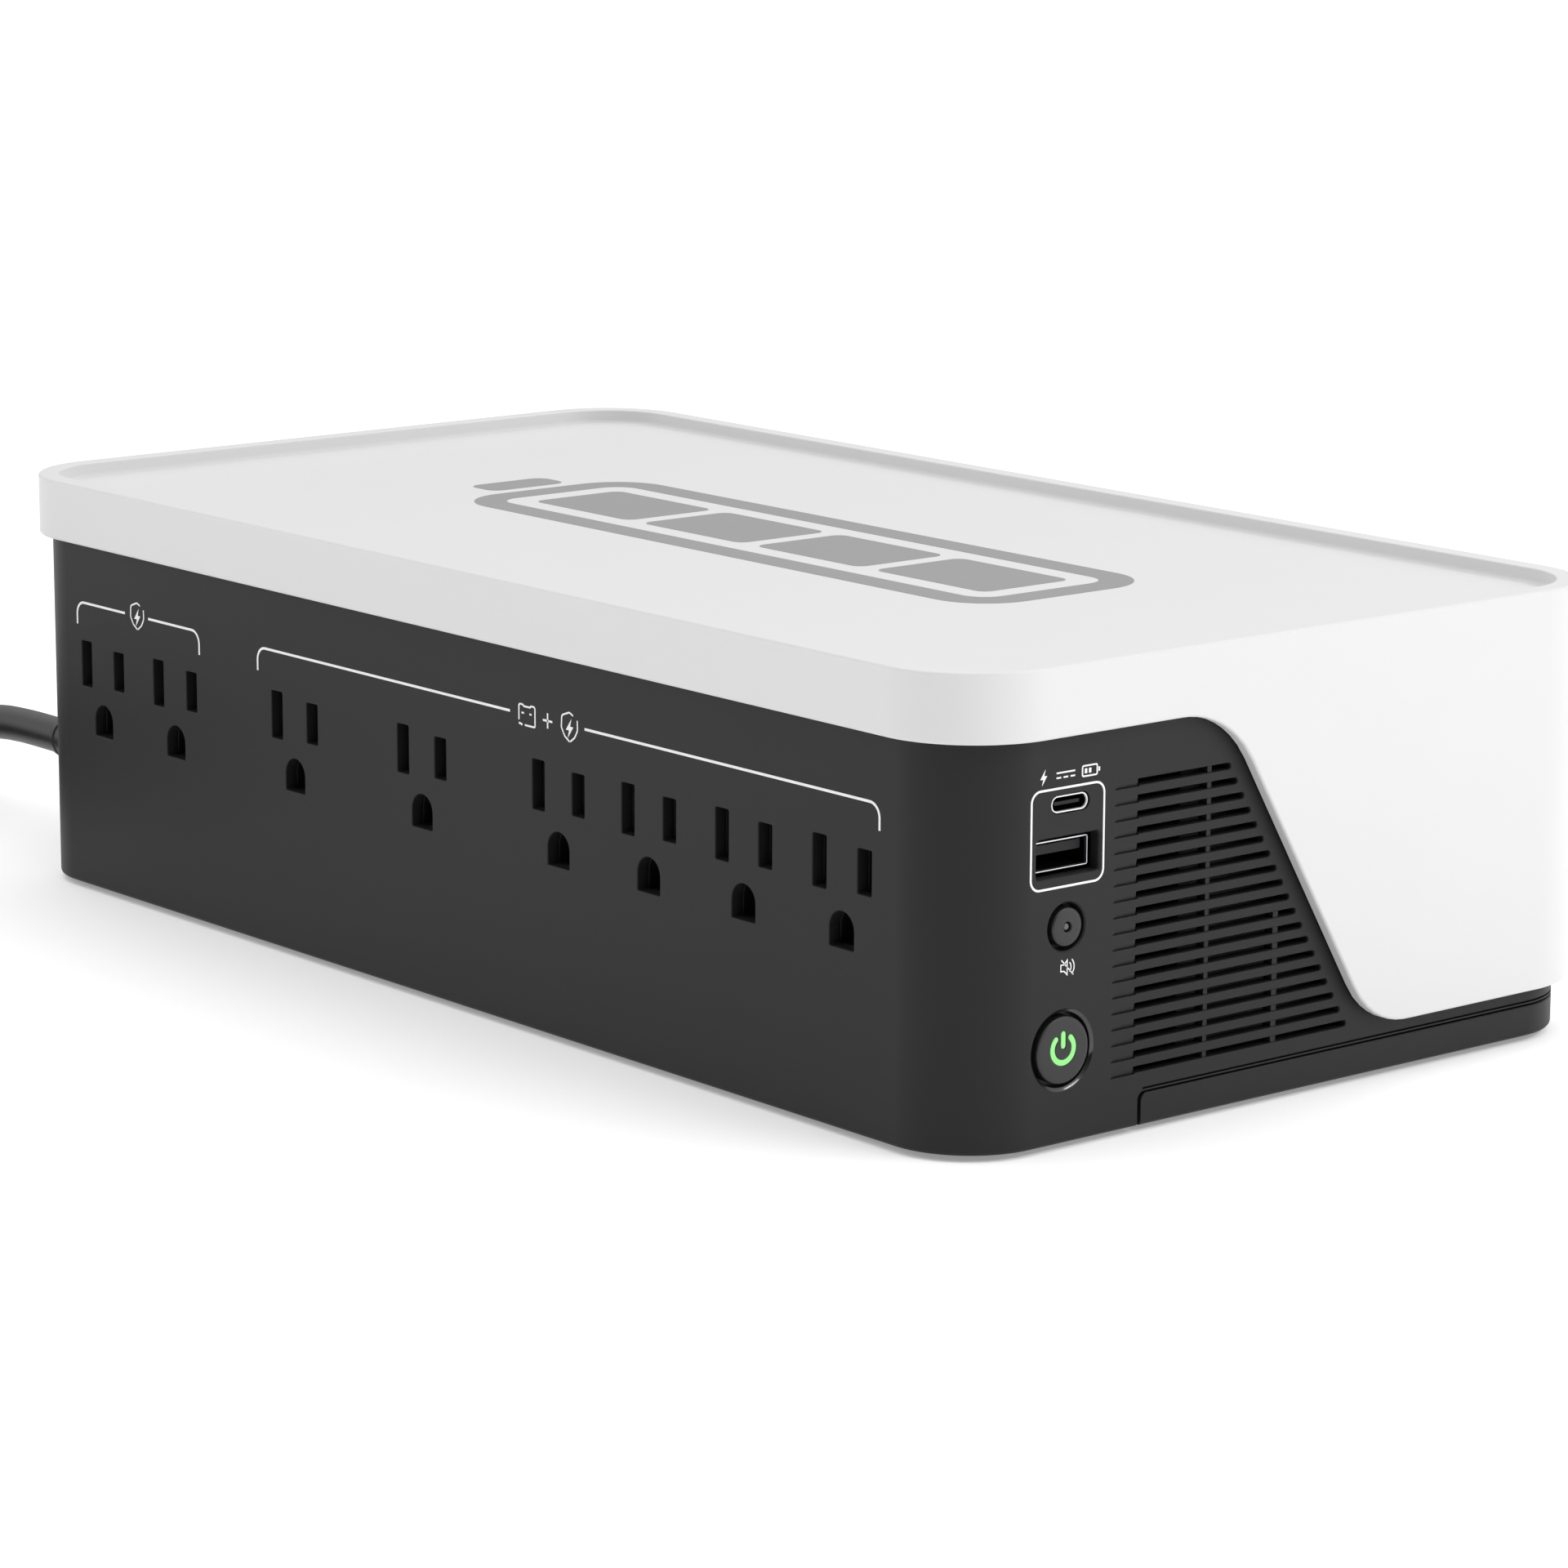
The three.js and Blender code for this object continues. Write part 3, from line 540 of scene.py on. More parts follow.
def plug_body():
    """A moulded grounded plug: a flat face, a waisted grip with ridges and a ringed neck."""
    low, high = box("plug_body")
    x, z = middle("plug_body").xz
    half_width, half_height = (high.x - low.x) / 2, (high.z - low.z) / 2
    length = high.y - low.y
    sections = []  # distance from the face, width share, height share, corner radius
    for depth, share in ((0, 0.93), (0.5, 0.98), (1.5, 1.0), (6, 1.0), (8, 0.985), (10, 0.93)):
        sections.append((depth, share, share, 8))
    for ridge in range(4):
        at = 11 + 3.6 * ridge
        for step, share in ((0, 0.87), (0.6, 0.84), (1.8, 0.84), (2.4, 0.87)):
            sections.append((at + step, share - 0.03 * ridge, 0.93 - 0.05 * ridge, 7.5))
    sections += [(26, 0.72, 0.75, 8.5), (28, 0.66, 0.71, 8.6)]
    outlines = []
    for depth, wide, tall, corner in sections:
        w, h = half_width * wide, half_height * tall
        outlines.append((rectangle(x - w, x + w, z - h, z + h, min(corner, w - 0.05, h - 0.05)), depth))
    for ring in range(5):
        for step, radius in ((0, 7.9), (1.6, 7.7), (2.0, 6.9), (2.9, 6.8)):
            outlines.append((disc(x, z, radius - 0.45 * ring), 29 + 3.1 * ring + step))
    outlines += [(disc(x, z, 5.0), length - 0.8), (disc(x, z, 4.5), length)]
    rings = [[(u, low.y + depth, v) for u, v in rounded(corners, steps=12)] for corners, depth in outlines]
    return piece("plug_moulding", loft(rings), JACKET, ["plug_body"])


def plug_blades():
    """Two flat blades with a hole near the tip, and a round ground pin with a domed end."""
    made = []
    for name in ("plug_blade_neutral", "plug_blade_line"):
        low, high = box(name)
        outline = rounded([(low.y, low.z, 1.2), (high.y, low.z, 0.1), (high.y, high.z, 0.1),
                           (low.y, high.z, 1.2)])
        blade = shape(prism(outline, in_section, [low.x, high.x]))
        eye = rounded(disc(low.y + 4.2, (low.z + high.z) / 2, 1.6))
        cut(blade, prism(eye, in_section, [low.x - 1, high.x + 1]))
        made.append(piece(f"{name}_fine", blade, BRASS, [name]))
    low, high = box("plug_ground_pin")
    radius, dome_height = (high.x - low.x) / 2, 2
    angles = [radians(a) for a in range(9, 91, 9)]
    dome = [[radius * sin(a), dome_height * (1 - cos(a))] for a in angles]
    pin = turned(middle("plug_ground_pin").xz, [*dome, [radius, high.y - low.y]],
                 lambda u, v, d: (u, low.y + d, v), 32)
    made.append(piece("plug_ground_pin_fine", pin, BRASS, ["plug_ground_pin"]))
    return made


def coil_strap():
    """A hook-and-loop strap round the coil, with its free end lapped over the outside."""
    low, high = box("cord_tie")
    thickness = 1.0
    half = thickness / 2
    loop = rounded(rectangle(low.y + half, high.y - half, low.z + half, high.z - half, 4.5), steps=8)
    band = stroke(loop, thickness, in_section, [low.x, high.x], closed=True)
    lap = rounded([(high.y - 9, high.z + 0.5, 0), (high.y + 0.5, high.z + 0.5, 5), (high.y + 0.6, 4, 0)],
                  steps=8, closed=False)
    flap = stroke(lap, 0.9, in_section, [low.x + 0.3, high.x - 0.3])
    return piece("coil_strap", merged(band, flap), STRAP, ["cord_tie"])


mains_cord()


# Base shell.
PLAN = rectangle(LEFT, RIGHT, FRONT, REAR, CORNER)
BOARD_POSTS = [(-50, 25), (-50, 135), (-4, 25), (-4, 135)]
BAY_WALLS = [  # beside the battery and behind it: x, y and z from and to
    ((-40.5, -38.5), (FRONT + 1, 9), (FLOOR - 1, 34)),
    ((-40.5, RIGHT - 1), (7, 9), (FLOOR - 1, 34)),
]
BASE_TRACK = [  # the groove in which the door's right edge slides
    ((77.4, RIGHT - 1), (-132, 8), (DOOR["line"], 10.4)),
    ((77.4, RIGHT - WALL - GAP), (-132, 8), (4.6, 10.4)),
    ((74.4, RIGHT - WALL - GAP), (-132, 8), (4.6, 5.8)),
]
DOOR_TRACK = [  # the ribs along the door's left and right edges
    ((-32.7, -30.7), (-150, 4), (3.2, 5.4)),
    ((-37, -30.7), (-150, 4), (FLOOR + GAP, 5.4)),
    ((72, 74.1), (-131, 4), (3.2, 7.8)),
    ((72, 77.1), (-131, 4), (6.1, 7.8)),
]
SCREW_RECESS = [[4.0, 0], [4.0, UNDERSIDE], [3.6, UNDERSIDE + 0.4], [3.6, 5.6], [1.9, 5.6], [1.9, 12]]
FOOT_RECESS = [[6.5, 0], [6.5, UNDERSIDE], [6.3, UNDERSIDE + 0.2], [6.3, 2.3]]
EDGE = 0.8  # radius of the underside's rounded edge
VENT_CORNERS = {"left": 0.1, "right": 0.58}


def screw_at(name):
    return middle(f"cover_screw_{name}").xy


def foot_recess(name):
    return turned(middle(f"foot_{name}").xy, FOOT_RECESS, in_plan, 48)


def plan_loft(profile, steps=24):
    """A slab with the base's plan. The profile is (height, growth) from the bottom up."""
    return loft([[(u, v, z) for u, v in rounded(PLAN, grow, steps)] for z, grow in profile])


def lower_edge():
    """The profile of the underside's rounded edge."""
    return [(UNDERSIDE + EDGE * c, -EDGE * s) for c, s in QUARTER]


def outlet_holes():
    corner = 0.35
    tools = []
    for u in OUTLETS:
        for side, height in ((-1, BLADES["neutral"]), (1, BLADES["line"])):
            slot_u = u + side * BLADES["apart"] / 2
            half = BLADES["width"] / 2
            tools.append(rectangle(slot_u - half, slot_u + half, BLADES["z"] - height / 2,
                                   BLADES["z"] + height / 2, corner))
        half = GROUND["width"] / 2
        tools.append([(u - half, GROUND["bottom"], corner), (u + half, GROUND["bottom"], corner),
                      (u + half, GROUND["top"], half - 0.01), (u - half, GROUND["top"], half - 0.01)])
    return merged(*[hole(corners, on_left, THROUGH, 0.25, 8) for corners in tools])


def vent_rows(rows):
    """Each slot's lower and upper edge, and where it ends beside the slanted cover."""
    found = []
    for row in range(rows):
        z = VENTS["top"] - VENTS["pitch"] * row
        end = VENTS["end"] + VENTS["slant"] * VENTS["pitch"] * row
        found.append((z - VENTS["height"] / 2, z + VENTS["height"] / 2, end))
    return found


def slot_corners(start, end, low, high):
    """A slot's outline, with a square left end and a round right end."""
    left, right = VENT_CORNERS["left"], VENT_CORNERS["right"]
    return [(start, low, left), (end, low, right), (end, high, right), (start, high, left)]


def vent_grooves(plane, rows):
    """The face's share of each slot, which no rib breaks."""
    return merged(*[hole(slot_corners(VENTS["x"], end, low, high), plane, 0.36, 0.28, 5)
                    for low, high, end in vent_rows(rows)])


def vent_slots(plane, rows):
    """The inner share of each slot, broken by the ribs."""
    tools = []
    for row, (low, high, end) in enumerate(vent_rows(rows)):
        start = VENTS["x"]
        for rib, width, first_row in VENT_RIBS:
            if row >= first_row:
                tools.append(rectangle(start, rib - width / 2, low, high, VENT_CORNERS["left"]))
                start = rib + width / 2
        tools.append(slot_corners(start, end, low, high))
    return merged(*[prism(rounded(corners, steps=5), plane, [0.2, THROUGH]) for corners in tools])


def vent_ramps(plane, rows):
    """The shallow recesses that run into the slots: flush along their top, deepest at their lower edge."""
    deep, above, below = 0.45, 0.1, 0.2
    stations = ((RAMP_START, 0.02), (RAMP_START + 0.5, deep * 0.7), (RAMP_START + 1.5, deep),
                (VENTS["x"] + 0.3, deep))
    tools = []
    for low, high, _ in vent_rows(rows):
        low, high = low - below, high + above
        tools.append(loft([[plane(x, low, -1), plane(x, high, -1), plane(x, high, 0.0), plane(x, low, depth)]
                           for x, depth in stations]))
    return merged(*tools)


def dished(mouth, flare, depth):
    """The profile of a round hole's dished mouth, from the wall's face inward."""
    steps = 8
    shares = [i / steps for i in range(steps + 1)]
    return [[mouth + flare * (1 - share), depth * share ** 0.85] for share in shares]


def button_holes():
    """The power button's hole has a seat for its polished ring, and the mute button's a small dish."""
    mouth = POWER_DISH["mouth"]
    seat = mouth + POWER_DISH["flare"]
    floor = POWER_DISH["depth"] + 0.3
    power = [[seat, -1], [seat, floor], [mouth, floor], [mouth, THROUGH]]
    dish = dished(**MUTE_DISH)
    mute = [[dish[0][0], -1], *dish, [MUTE_DISH["mouth"], THROUGH]]
    return merged(turned(POWER.xz, power, on_front, 96), turned(MUTE.xz, mute, on_front, 72))


def socket_hole(at, half_width, half_height, radius, ease, steps):
    corners = rectangle(at.x - half_width, at.x + half_width, at.z - half_height, at.z + half_height, radius)
    return hole(corners, on_front, THROUGH, ease, steps)


def round_hole(at, radius):
    return hole(disc(at.x, at.z, radius), on_rear, THROUGH, 0.3, 12)


def door_line():
    """The shadow line over the door, in the base's front and right side."""
    height, depth = 0.4, 0.8
    line = shape(plan_loft([(DOOR["line"] - height, 1), (DOOR["line"], 1)]))
    cut(line, plan_loft([(0, -depth), (BASE_TOP, -depth)]))
    combine(line, "INTERSECT", block((DOOR["left"] + 1.2, RIGHT + OUTSIDE), (FRONT - OUTSIDE, DOOR["rear"]),
                                     (0, BASE_TOP)))
    return taken(line)


def base_shell():
    shell = shape(plan_loft([*lower_edge(), (BASE_TOP, 0)]))
    cut(shell, plan_loft([(FLOOR, -WALL), (RIM_TOP, -WALL)]))
    posts = [turned(screw_at(name), [[5.5, UNDERSIDE + 1], [5.5, POST_TOP]], in_plan, 32) for name in SCREWS]
    posts += [turned(at, [[3, FLOOR - 1], [3, POST_TOP]], in_plan, 24) for at in BOARD_POSTS]
    join(shell, merged(*posts), *[block(*wall) for wall in BAY_WALLS])
    cut(shell, door_region(DOOR["left"], FRONT + WALL + GAP, DOOR["opening"]),
        sill_region(DOOR["sill"], DOOR["rear"], DOOR["opening"]), door_line())
    join(shell, *[block(*rail) for rail in BASE_TRACK])
    cut(shell, outlet_holes())
    for plane, rows in ((on_front, FRONT_ROWS), (on_rear, REAR_ROWS)):
        cut(shell, vent_grooves(plane, rows), vent_slots(plane, rows), vent_ramps(plane, rows))
    cut(shell, merged(button_holes(), socket_hole(USB_A, 7.55, 3.575, 0.6, 0.7, 4),
                      socket_hole(USB_C, 4.75, 1.75, 1.74, 0.12, 8)))
    cut(shell, merged(round_hole(middle("cord_strain_relief"), 7.3), round_hole(BREAKER, 5.5)))
    recesses = [turned(screw_at(name), SCREW_RECESS, in_plan, 32) for name in SCREWS]
    cut(shell, merged(*recesses, *[foot_recess(name) for name in FEET]))
    piece("base_shell_fine", shell, BLACK, ["base_shell"])


def door_region(left, rear, top):
    """What a door opening takes out of the front wall, with its upper left corner rounded."""
    right = RIGHT + OUTSIDE
    line = rounded([(left, -OUTSIDE, 0), (right, -OUTSIDE, 0), (right, top, 0), (left, top, 1.6)], steps=8)
    return prism(line, on_front, [-OUTSIDE, rear - FRONT])


def sill_region(left, rear, top):
    """And what it takes out of the underside and the right wall."""
    return block((left, RIGHT + OUTSIDE), (FRONT - OUTSIDE, rear), (-OUTSIDE, top))


def finger_grips():
    first, pitch, width = -140, 3.2, 1.6
    lines = [rounded(rectangle(-2, 38, y, y + width, 0.75)) for y in [first + pitch * i for i in range(9)]]
    return merged(*[prism(line, in_plan, [0, UNDERSIDE + 0.8]) for line in lines])


def battery_door():
    """The door: the underside and the lower edge of the front and the right side, with finger ridges."""
    top = DOOR["top"]
    edge = 0.3
    upper = [(top - edge * s, -edge * c) for c, s in QUARTER]
    door = shape(plan_loft([*lower_edge(), *upper]))
    cut(door, plan_loft([(FLOOR, -WALL), (top + OUTSIDE, -WALL)]))
    region = shape(door_region(DOOR["left"] + 3 * GAP, FRONT + WALL, top))
    join(region, sill_region(DOOR["sill"] + GAP, DOOR["rear"] - GAP, top))
    combine(door, "INTERSECT", taken(region))
    join(door, *[block(*rail) for rail in DOOR_TRACK])
    cut(door, foot_recess("front_right"), finger_grips())
    piece("battery_door_fine", door, BLACK, ["battery_door"], "battery_door")


# Top cover.
def cover_edge(x):
    """The height of the cover's lower edge at x, and its slope: a level band, a slant and a level skirt."""
    slope_x = SKIRT_CORNER["x"] - BAND_CORNER["x"]
    slope_z = SKIRT_BOTTOM - BAND_BOTTOM
    angle = atan2(-slope_z, slope_x)
    tangent = tan(angle / 2)
    r1, r2 = BAND_CORNER["radius"], SKIRT_CORNER["radius"]
    x1 = BAND_CORNER["x"] - r1 * tangent
    x2 = SKIRT_CORNER["x"] + r2 * tangent
    if x <= x1:
        return BAND_BOTTOM, 0.0
    if x >= x2:
        return SKIRT_BOTTOM, 0.0
    if x < x1 + r1 * sin(angle):
        run = x - x1
        drop = sqrt(r1 * r1 - run * run)
        return BAND_BOTTOM - r1 + drop, -run / drop
    if x > x2 - r2 * sin(angle):
        run = x2 - x
        rise = sqrt(r2 * r2 - run * run)
        return SKIRT_BOTTOM + r2 - rise, -run / rise
    return BAND_BOTTOM + (x - BAND_CORNER["x"]) * slope_z / slope_x, slope_z / slope_x


def cover_stations():
    """Places round the cover's plan with the outward direction at each.
    They lie close together along the front and the rear, where its edge curves."""
    stations = []
    for (u, v, _), start in zip(PLAN, (180, 270, 0, 90)):
        centre = (u - copysign(CORNER, u), v - copysign(CORNER, v))
        for x, y in arc((0, 0), 1, start, start + 90, 24):
            stations.append((centre[0] + CORNER * x, centre[1] + CORNER * y, x, y))
        if start in (180, 0):
            side = 1 if start == 0 else -1
            xs = [side * (64 - 2 * i) for i in range(65)]
            stations += [(x, side * REAR, 0, side) for x in xs]
    return stations


def cover_profile(edge, slope):
    """The cover's section from the tray's underside, round the lower edge, over the rim, to the tray."""
    stretch = hypot(1, slope)
    inner, outer, top, lip, foot = 0.4, 0.6, 0.5, 0.35, 0.9  # the radii of its rounded edges
    draft = 0.2
    wall = PROUD - WALL
    rim = PROUD - TRAY_RIM
    line = [(wall, TRAY_TOP - WALL)]
    line += [(wall + inner * c, edge + stretch * inner * s) for c, s in FINE_QUARTER]
    line += [(PROUD - outer * s, edge + stretch * outer * c) for c, s in FINE_QUARTER]
    line += [(PROUD - top * c, RIM_TOP - top * s) for c, s in FINE_QUARTER]
    line += [(rim + lip * s, RIM_TOP - lip * c) for c, s in FINE_QUARTER]
    line += [(rim - draft - foot * c, TRAY_TOP + foot * s) for c, s in FINE_QUARTER]
    return line


def top_cover():
    stations = cover_stations()
    sections = [cover_profile(*cover_edge(x)) for x, _, _, _ in stations]
    rings = []
    for k in range(len(sections[0])):
        rings.append([(x + nx * section[k][0], y + ny * section[k][0], section[k][1])
                      for (x, y, nx, ny), section in zip(stations, sections)])
    cover = shape(loft(rings))
    bosses = [turned(screw_at(name), [[4.5, POST_TOP + GAP], [4.5, TRAY_TOP - 1]], in_plan, 32)
              for name in SCREWS]
    pilots = [turned(screw_at(name), [[1.8, 0], [1.8, FLOOR + 22]], in_plan, 24) for name in SCREWS]
    join(cover, merged(*bosses))
    cut(cover, merged(*pilots))
    piece("top_cover_fine", cover, WHITE, ["top_cover"])


base_shell()
battery_door()
top_cover()


# Buttons.
def button_cap(name, at, size, light):
    """A round button with a slightly domed face, a flange behind the wall and a stem."""
    low, high = box(name)
    face = low.y - FRONT
    radius, rim = size["radius"], size["face"]
    soft, dome = 0.35, 0.12
    flange_front, flange_back = WALL + GAP, 4.2
    flange, stem = radius + 1.3, radius * 0.86
    profile = [[rim * share, face + dome * share ** 2] for share in (0.02, 0.3, 0.5, 0.7, 0.85)]
    profile += [[rim - soft * s, face + dome + soft * c] for c, s in QUARTER]
    profile += [[radius, flange_front], [flange, flange_front], [flange, flange_back],
                [stem, flange_back], [stem, high.y - FRONT]]
    cap = shape(turned(at.xz, profile, on_front, 72))
    cut(cap, *light)
    piece(f"{name}_fine", cap, BUTTON, [name], name)


def power_sign(width, depths):
    """The standby sign's ring and bar. Its strokes lie round the same lines, whatever their width."""
    x, z = POWER.xz
    lines = (arc((x, z + 0.3), 2.6, 133, 407, 48), [(x, z + 0.85), (x, z + 3.05)])
    return [stroke(line, width, on_front, depths, round_ends=True) for line in lines]


def power_button():
    face = box("power_button")[0].y - FRONT
    button_cap("power_button", POWER, POWER_CAP, power_sign(1.4, [face - 1, face + 1.0]))
    edge = merged(*power_sign(1.38, [face + 0.12, face + 1.0]))
    piece("power_light_edge", edge, GREEN_EDGE, body="power_button")
    lit = merged(*power_sign(1.02, [face + 0.04, face + 0.9]))
    piece("power_light_fine", lit, GREEN_LIGHT, ["power_light_guide"], "power_button")
    dish = dished(**POWER_DISH)
    back = POWER_DISH["depth"] + 0.28
    section = [*dish, [POWER_DISH["mouth"], back], [dish[0][0] - 0.02, back]]
    piece("power_ring", turned(POWER.xz, section, on_front, 96, closed=True), POLISHED)


def mute_button():
    face = box("mute_button")[0].y - FRONT
    well = hole(disc(MUTE.x, MUTE.z, 0.95), lambda u, v, d: on_front(u, v, face + 0.12 + d), 1.5, 0.12, 8)
    button_cap("mute_button", MUTE, MUTE_CAP, [well])
    profile = [[0.1, 0.25], [0.4, 0.3], [0.62, 0.42], [0.72, 0.6], [0.72, 1.7]]
    lens = turned(MUTE.xz, [[radius, face + depth] for radius, depth in profile], on_front, 32)
    piece("mute_light_fine", lens, PALE_LIGHT, ["mute_light_guide"], "mute_button")


power_button()
mute_button()


# Sockets.
def usb_contacts(socket, count, pitch, width):
    """The gold pads along a tongue's underside."""
    tongue = f"{socket}_tongue"
    low = box(tongue)[0]
    first = middle(tongue).x - (count - 1) / 2 * pitch
    pads = [block((at - width / 2, at + width / 2), (low.y + 0.6, low.y + 7), (low.z - 0.06, low.z + 0.1))
            for at in [first + i * pitch for i in range(count)]]
    piece(f"{socket}_contacts", merged(*pads), GOLD)


def usb_shell(socket, radius, wall, look):
    """A folded metal shell, open at the front, with rolled lips and a black sheet inside it as painted shade.
    """
    name = f"{socket}_shell"
    low, high = box(name)
    lip = 0.15
    inside = rectangle(low.x + wall, high.x - wall, low.z + wall, high.z - wall, radius - wall)
    outside = rectangle(low.x, high.x, low.z, high.z, radius)
    metal = [(outside, 0.0, high.y), (outside, 0.0, low.y + lip), (outside, -0.06, low.y + 0.03),
             (outside, -lip, low.y), (inside, lip, low.y), (inside, 0.06, low.y + 0.03),
             (inside, 0.0, low.y + lip), (inside, 0.0, high.y - 0.5)]
    # A black sheet over the shell's inner walls: painted shade that darkens the socket's inside.
    shade_lining = [(inside, 0.02, low.y + 0.35), (inside, 0.02, high.y - 0.6), (inside, -0.08, high.y - 0.6),
              (inside, -0.08, low.y + 0.4)]
    metal, shade_lining = [[[(u, y, v) for u, v in rounded(corners, grow, 8)] for corners, grow, y in sections]
                     for sections in (metal, shade_lining)]
    piece(f"{name}_fine", loft(metal), look, [name])
    piece(f"{name}_lining", loft(shade_lining, closed=True), SOCKET_SHADE_BLACK)


usb_shell("usb_a", 0.5, 0.35, STEEL)
usb_shell("usb_c", 1.55, 0.32, NICKEL_AND_SHEEN)
usb_contacts("usb_a", 4, 2.5, 1.2)
usb_contacts("usb_c", 8, 0.7, 0.3)


# Printed lines and signs.
INK = [-0.05, 0.1]  # from just proud of the surface to inside it
# Corners of the signs' lines: two distances from the sign's middle, and the radius.
SHIELD_LEFT = [(1.15, 2.35, 0), (0, 2.85, 0.8), (-2.43, 2, 0.8), (-2.565, -0.4, 0.8), (-1.485, -2, 0.8),
               (0, -2.9, 0)]
SHIELD_RIGHT = [(2.484, 1.6, 0), (2.565, -0.4, 1.5), (1.62, -1.9, 1.5), (0.25, -2.85, 0)]
BATTERY_LINE = [(-2.6, -1.1, 0), (-2.6, 1.75, 0.35), (-2.3, 2.05, 0.3), (-1.3, 2.05, 0.3), (-1, 1.75, 0.15),
                (1, 1.75, 0.15), (1.3, 2.05, 0.3), (2.3, 2.05, 0.3), (2.6, 1.75, 0.3), (2.6, -1.95, 0.3),
                (-0.7, -1.95, 0)]
SPEAKER_LINE = [(-1.7, -0.6), (-0.95, -0.6), (-0.15, -1.35), (-0.15, 1.35), (-0.95, 0.6), (-1.7, 0.6)]


def filled(corners, plane, steps=6):
    return prism(rounded(corners, steps=steps), plane, INK)


def drawn(corners, u, v, width, plane, steps=6):
    """An open line along a sign's corners."""
    line = rounded([(u + a, v + b, radius) for a, b, radius in corners], steps=steps, closed=False)
    return stroke(line, width, plane, INK)


def dash(u0, u1, v, width, plane):
    return stroke([(u0, v), (u1, v)], width, plane, INK)


def bolt(u, v, size, width=0.6):
    """A lightning bolt's corners, anticlockwise. Size is half its height, and width its share of that."""
    corners = [(0.5, 1.0), (-1.0, -0.2), (-0.15, -0.2), (-0.5, -1.0), (1.0, 0.2), (0.15, 0.2)]
    return [(u + size * width * a, v + size * b) for a, b in corners]


def shield(u, v, plane, width):
    """A shield in two strokes, with a bolt inside."""
    return merged(drawn(SHIELD_LEFT, u, v, width, plane), drawn(SHIELD_RIGHT, u, v, width, plane),
                  prism(bolt(u + 0.05, v - 0.3, 1.95), plane, INK))


def battery_sign(u, v, plane):
    """A battery in one broken stroke, with a plus and a minus of plain dashes."""
    start = stroke([(u - 2.6, v - 1.75), (u - 1.5, v - 1.95)], 0.42, plane, INK)
    return merged(drawn(BATTERY_LINE, u, v, 0.36, plane, 4), start,
                  dash(u - 1.75, u - 0.95, v + 0.4, 0.35, plane),
                  dash(u + 0.8, u + 1.5, v + 0.4, 0.35, plane))


def outlet_prints():
    """One bracket over the outlets that only have surge protection, one over those with the battery."""
    width, radius = 0.52, 2.7
    top = 64.1
    foot = top - 4.95
    lines = [
        [(21.8, foot, 0), (21.8, top, radius), (40.9, top, 0)],
        [(50, top, 0), (69.5, top, radius), (69.5, foot, 0)],
        [(91.4, foot, 0), (91.4, top, radius), (179, top, 0)],
        [(202.9, top, 0), (289.9, top, radius), (289.9, foot, 0)],
    ]
    parts = [drawn(line, 0, 0, width, on_left, 10) for line in lines]
    parts += [shield(45.7, top, on_left, 0.34), shield(198.1, top - 0.3, on_left, 0.34)]
    parts.append(battery_sign(184.5, top - 0.2, on_left))
    plus_u, plus_v, reach = 191.15, top - 0.2, 1.5
    parts += [dash(plus_u - reach, plus_u + reach, plus_v, 0.42, on_left),
              stroke([(plus_u, plus_v - reach), (plus_u, plus_v + reach)], 0.42, on_left, INK)]
    piece("outlet_print", merged(*parts), PRINT)


def speaker(u, v):
    """A crossed-out speaker."""
    body = [(u + a, v + b) for a, b in SPEAKER_LINE]
    lines = [arc((u - 0.4, v), reach, -42, 42, 8) for reach in (1.2, 1.95)]
    lines.append([(u - 1.5, v + 1.45), (u + 1.3, v - 1.45)])
    return merged(stroke(body, 0.22, on_front, INK, closed=True),
                  *[stroke(line, 0.23, on_front, INK, round_ends=True) for line in lines])


def front_prints():
    """A frame round the USB sockets, a charging sign above it and the mute sign."""
    left, right = LEFT + 16.7, LEFT + 34.35
    sign, thin = 69.9, 0.3  # the charging sign's height and its lines' width
    frame_line = rounded(rectangle(left, right, 49.3, 67.5, 2.1), steps=8)
    cell = rounded(rectangle(left + 12.2, left + 15.8, sign - 0.95, sign + 0.95, 0.3), steps=4)
    parts = [stroke(frame_line, 0.42, on_front, INK, closed=True), speaker(LEFT + 26, 34.15),
             prism(bolt(left + 2.8, sign, 1.5, 0.55), on_front, INK),
             dash(left + 5.9, left + 10.4, sign + 0.45, thin, on_front),
             *[dash(start, start + 1.1, sign - 0.45, thin, on_front)
               for start in [left + 5.9 + 1.7 * i for i in range(3)]],
             stroke(cell, thin, on_front, INK, closed=True),
             filled(rectangle(left + 16.1, left + 16.5, sign - 0.4, sign + 0.4, 0.1), on_front),
             *[filled(rectangle(start, start + 0.6, sign - 0.45, sign + 0.45, 0.05), on_front)
               for start in [left + 12.75 + 1.0 * i for i in range(2)]]]
    piece("front_print", merged(*parts), PRINT)


def tray_print():
    """A large plain battery sign with charge bars, on the tray."""
    width = 7
    low, high = -89, 75
    terminal = high + width / 2 + 3.5
    bar, pitch = 33, 37.5
    outline = rounded(rectangle(-19.5, 21.5, low, high, 9), steps=10)
    parts = [stroke(outline, width, on_tray, INK, closed=True),
             filled(rectangle(-9, 11, terminal, terminal + 9.5, 3), on_tray)]
    for start in [low + 9 + pitch * i for i in range(4)]:
        parts.append(filled(rectangle(-10.5, 12.5, start, start + bar, 2.5), on_tray))
    piece("tray_print", merged(*parts), GREY_PRINT)


outlet_prints()
front_prints()
tray_print()


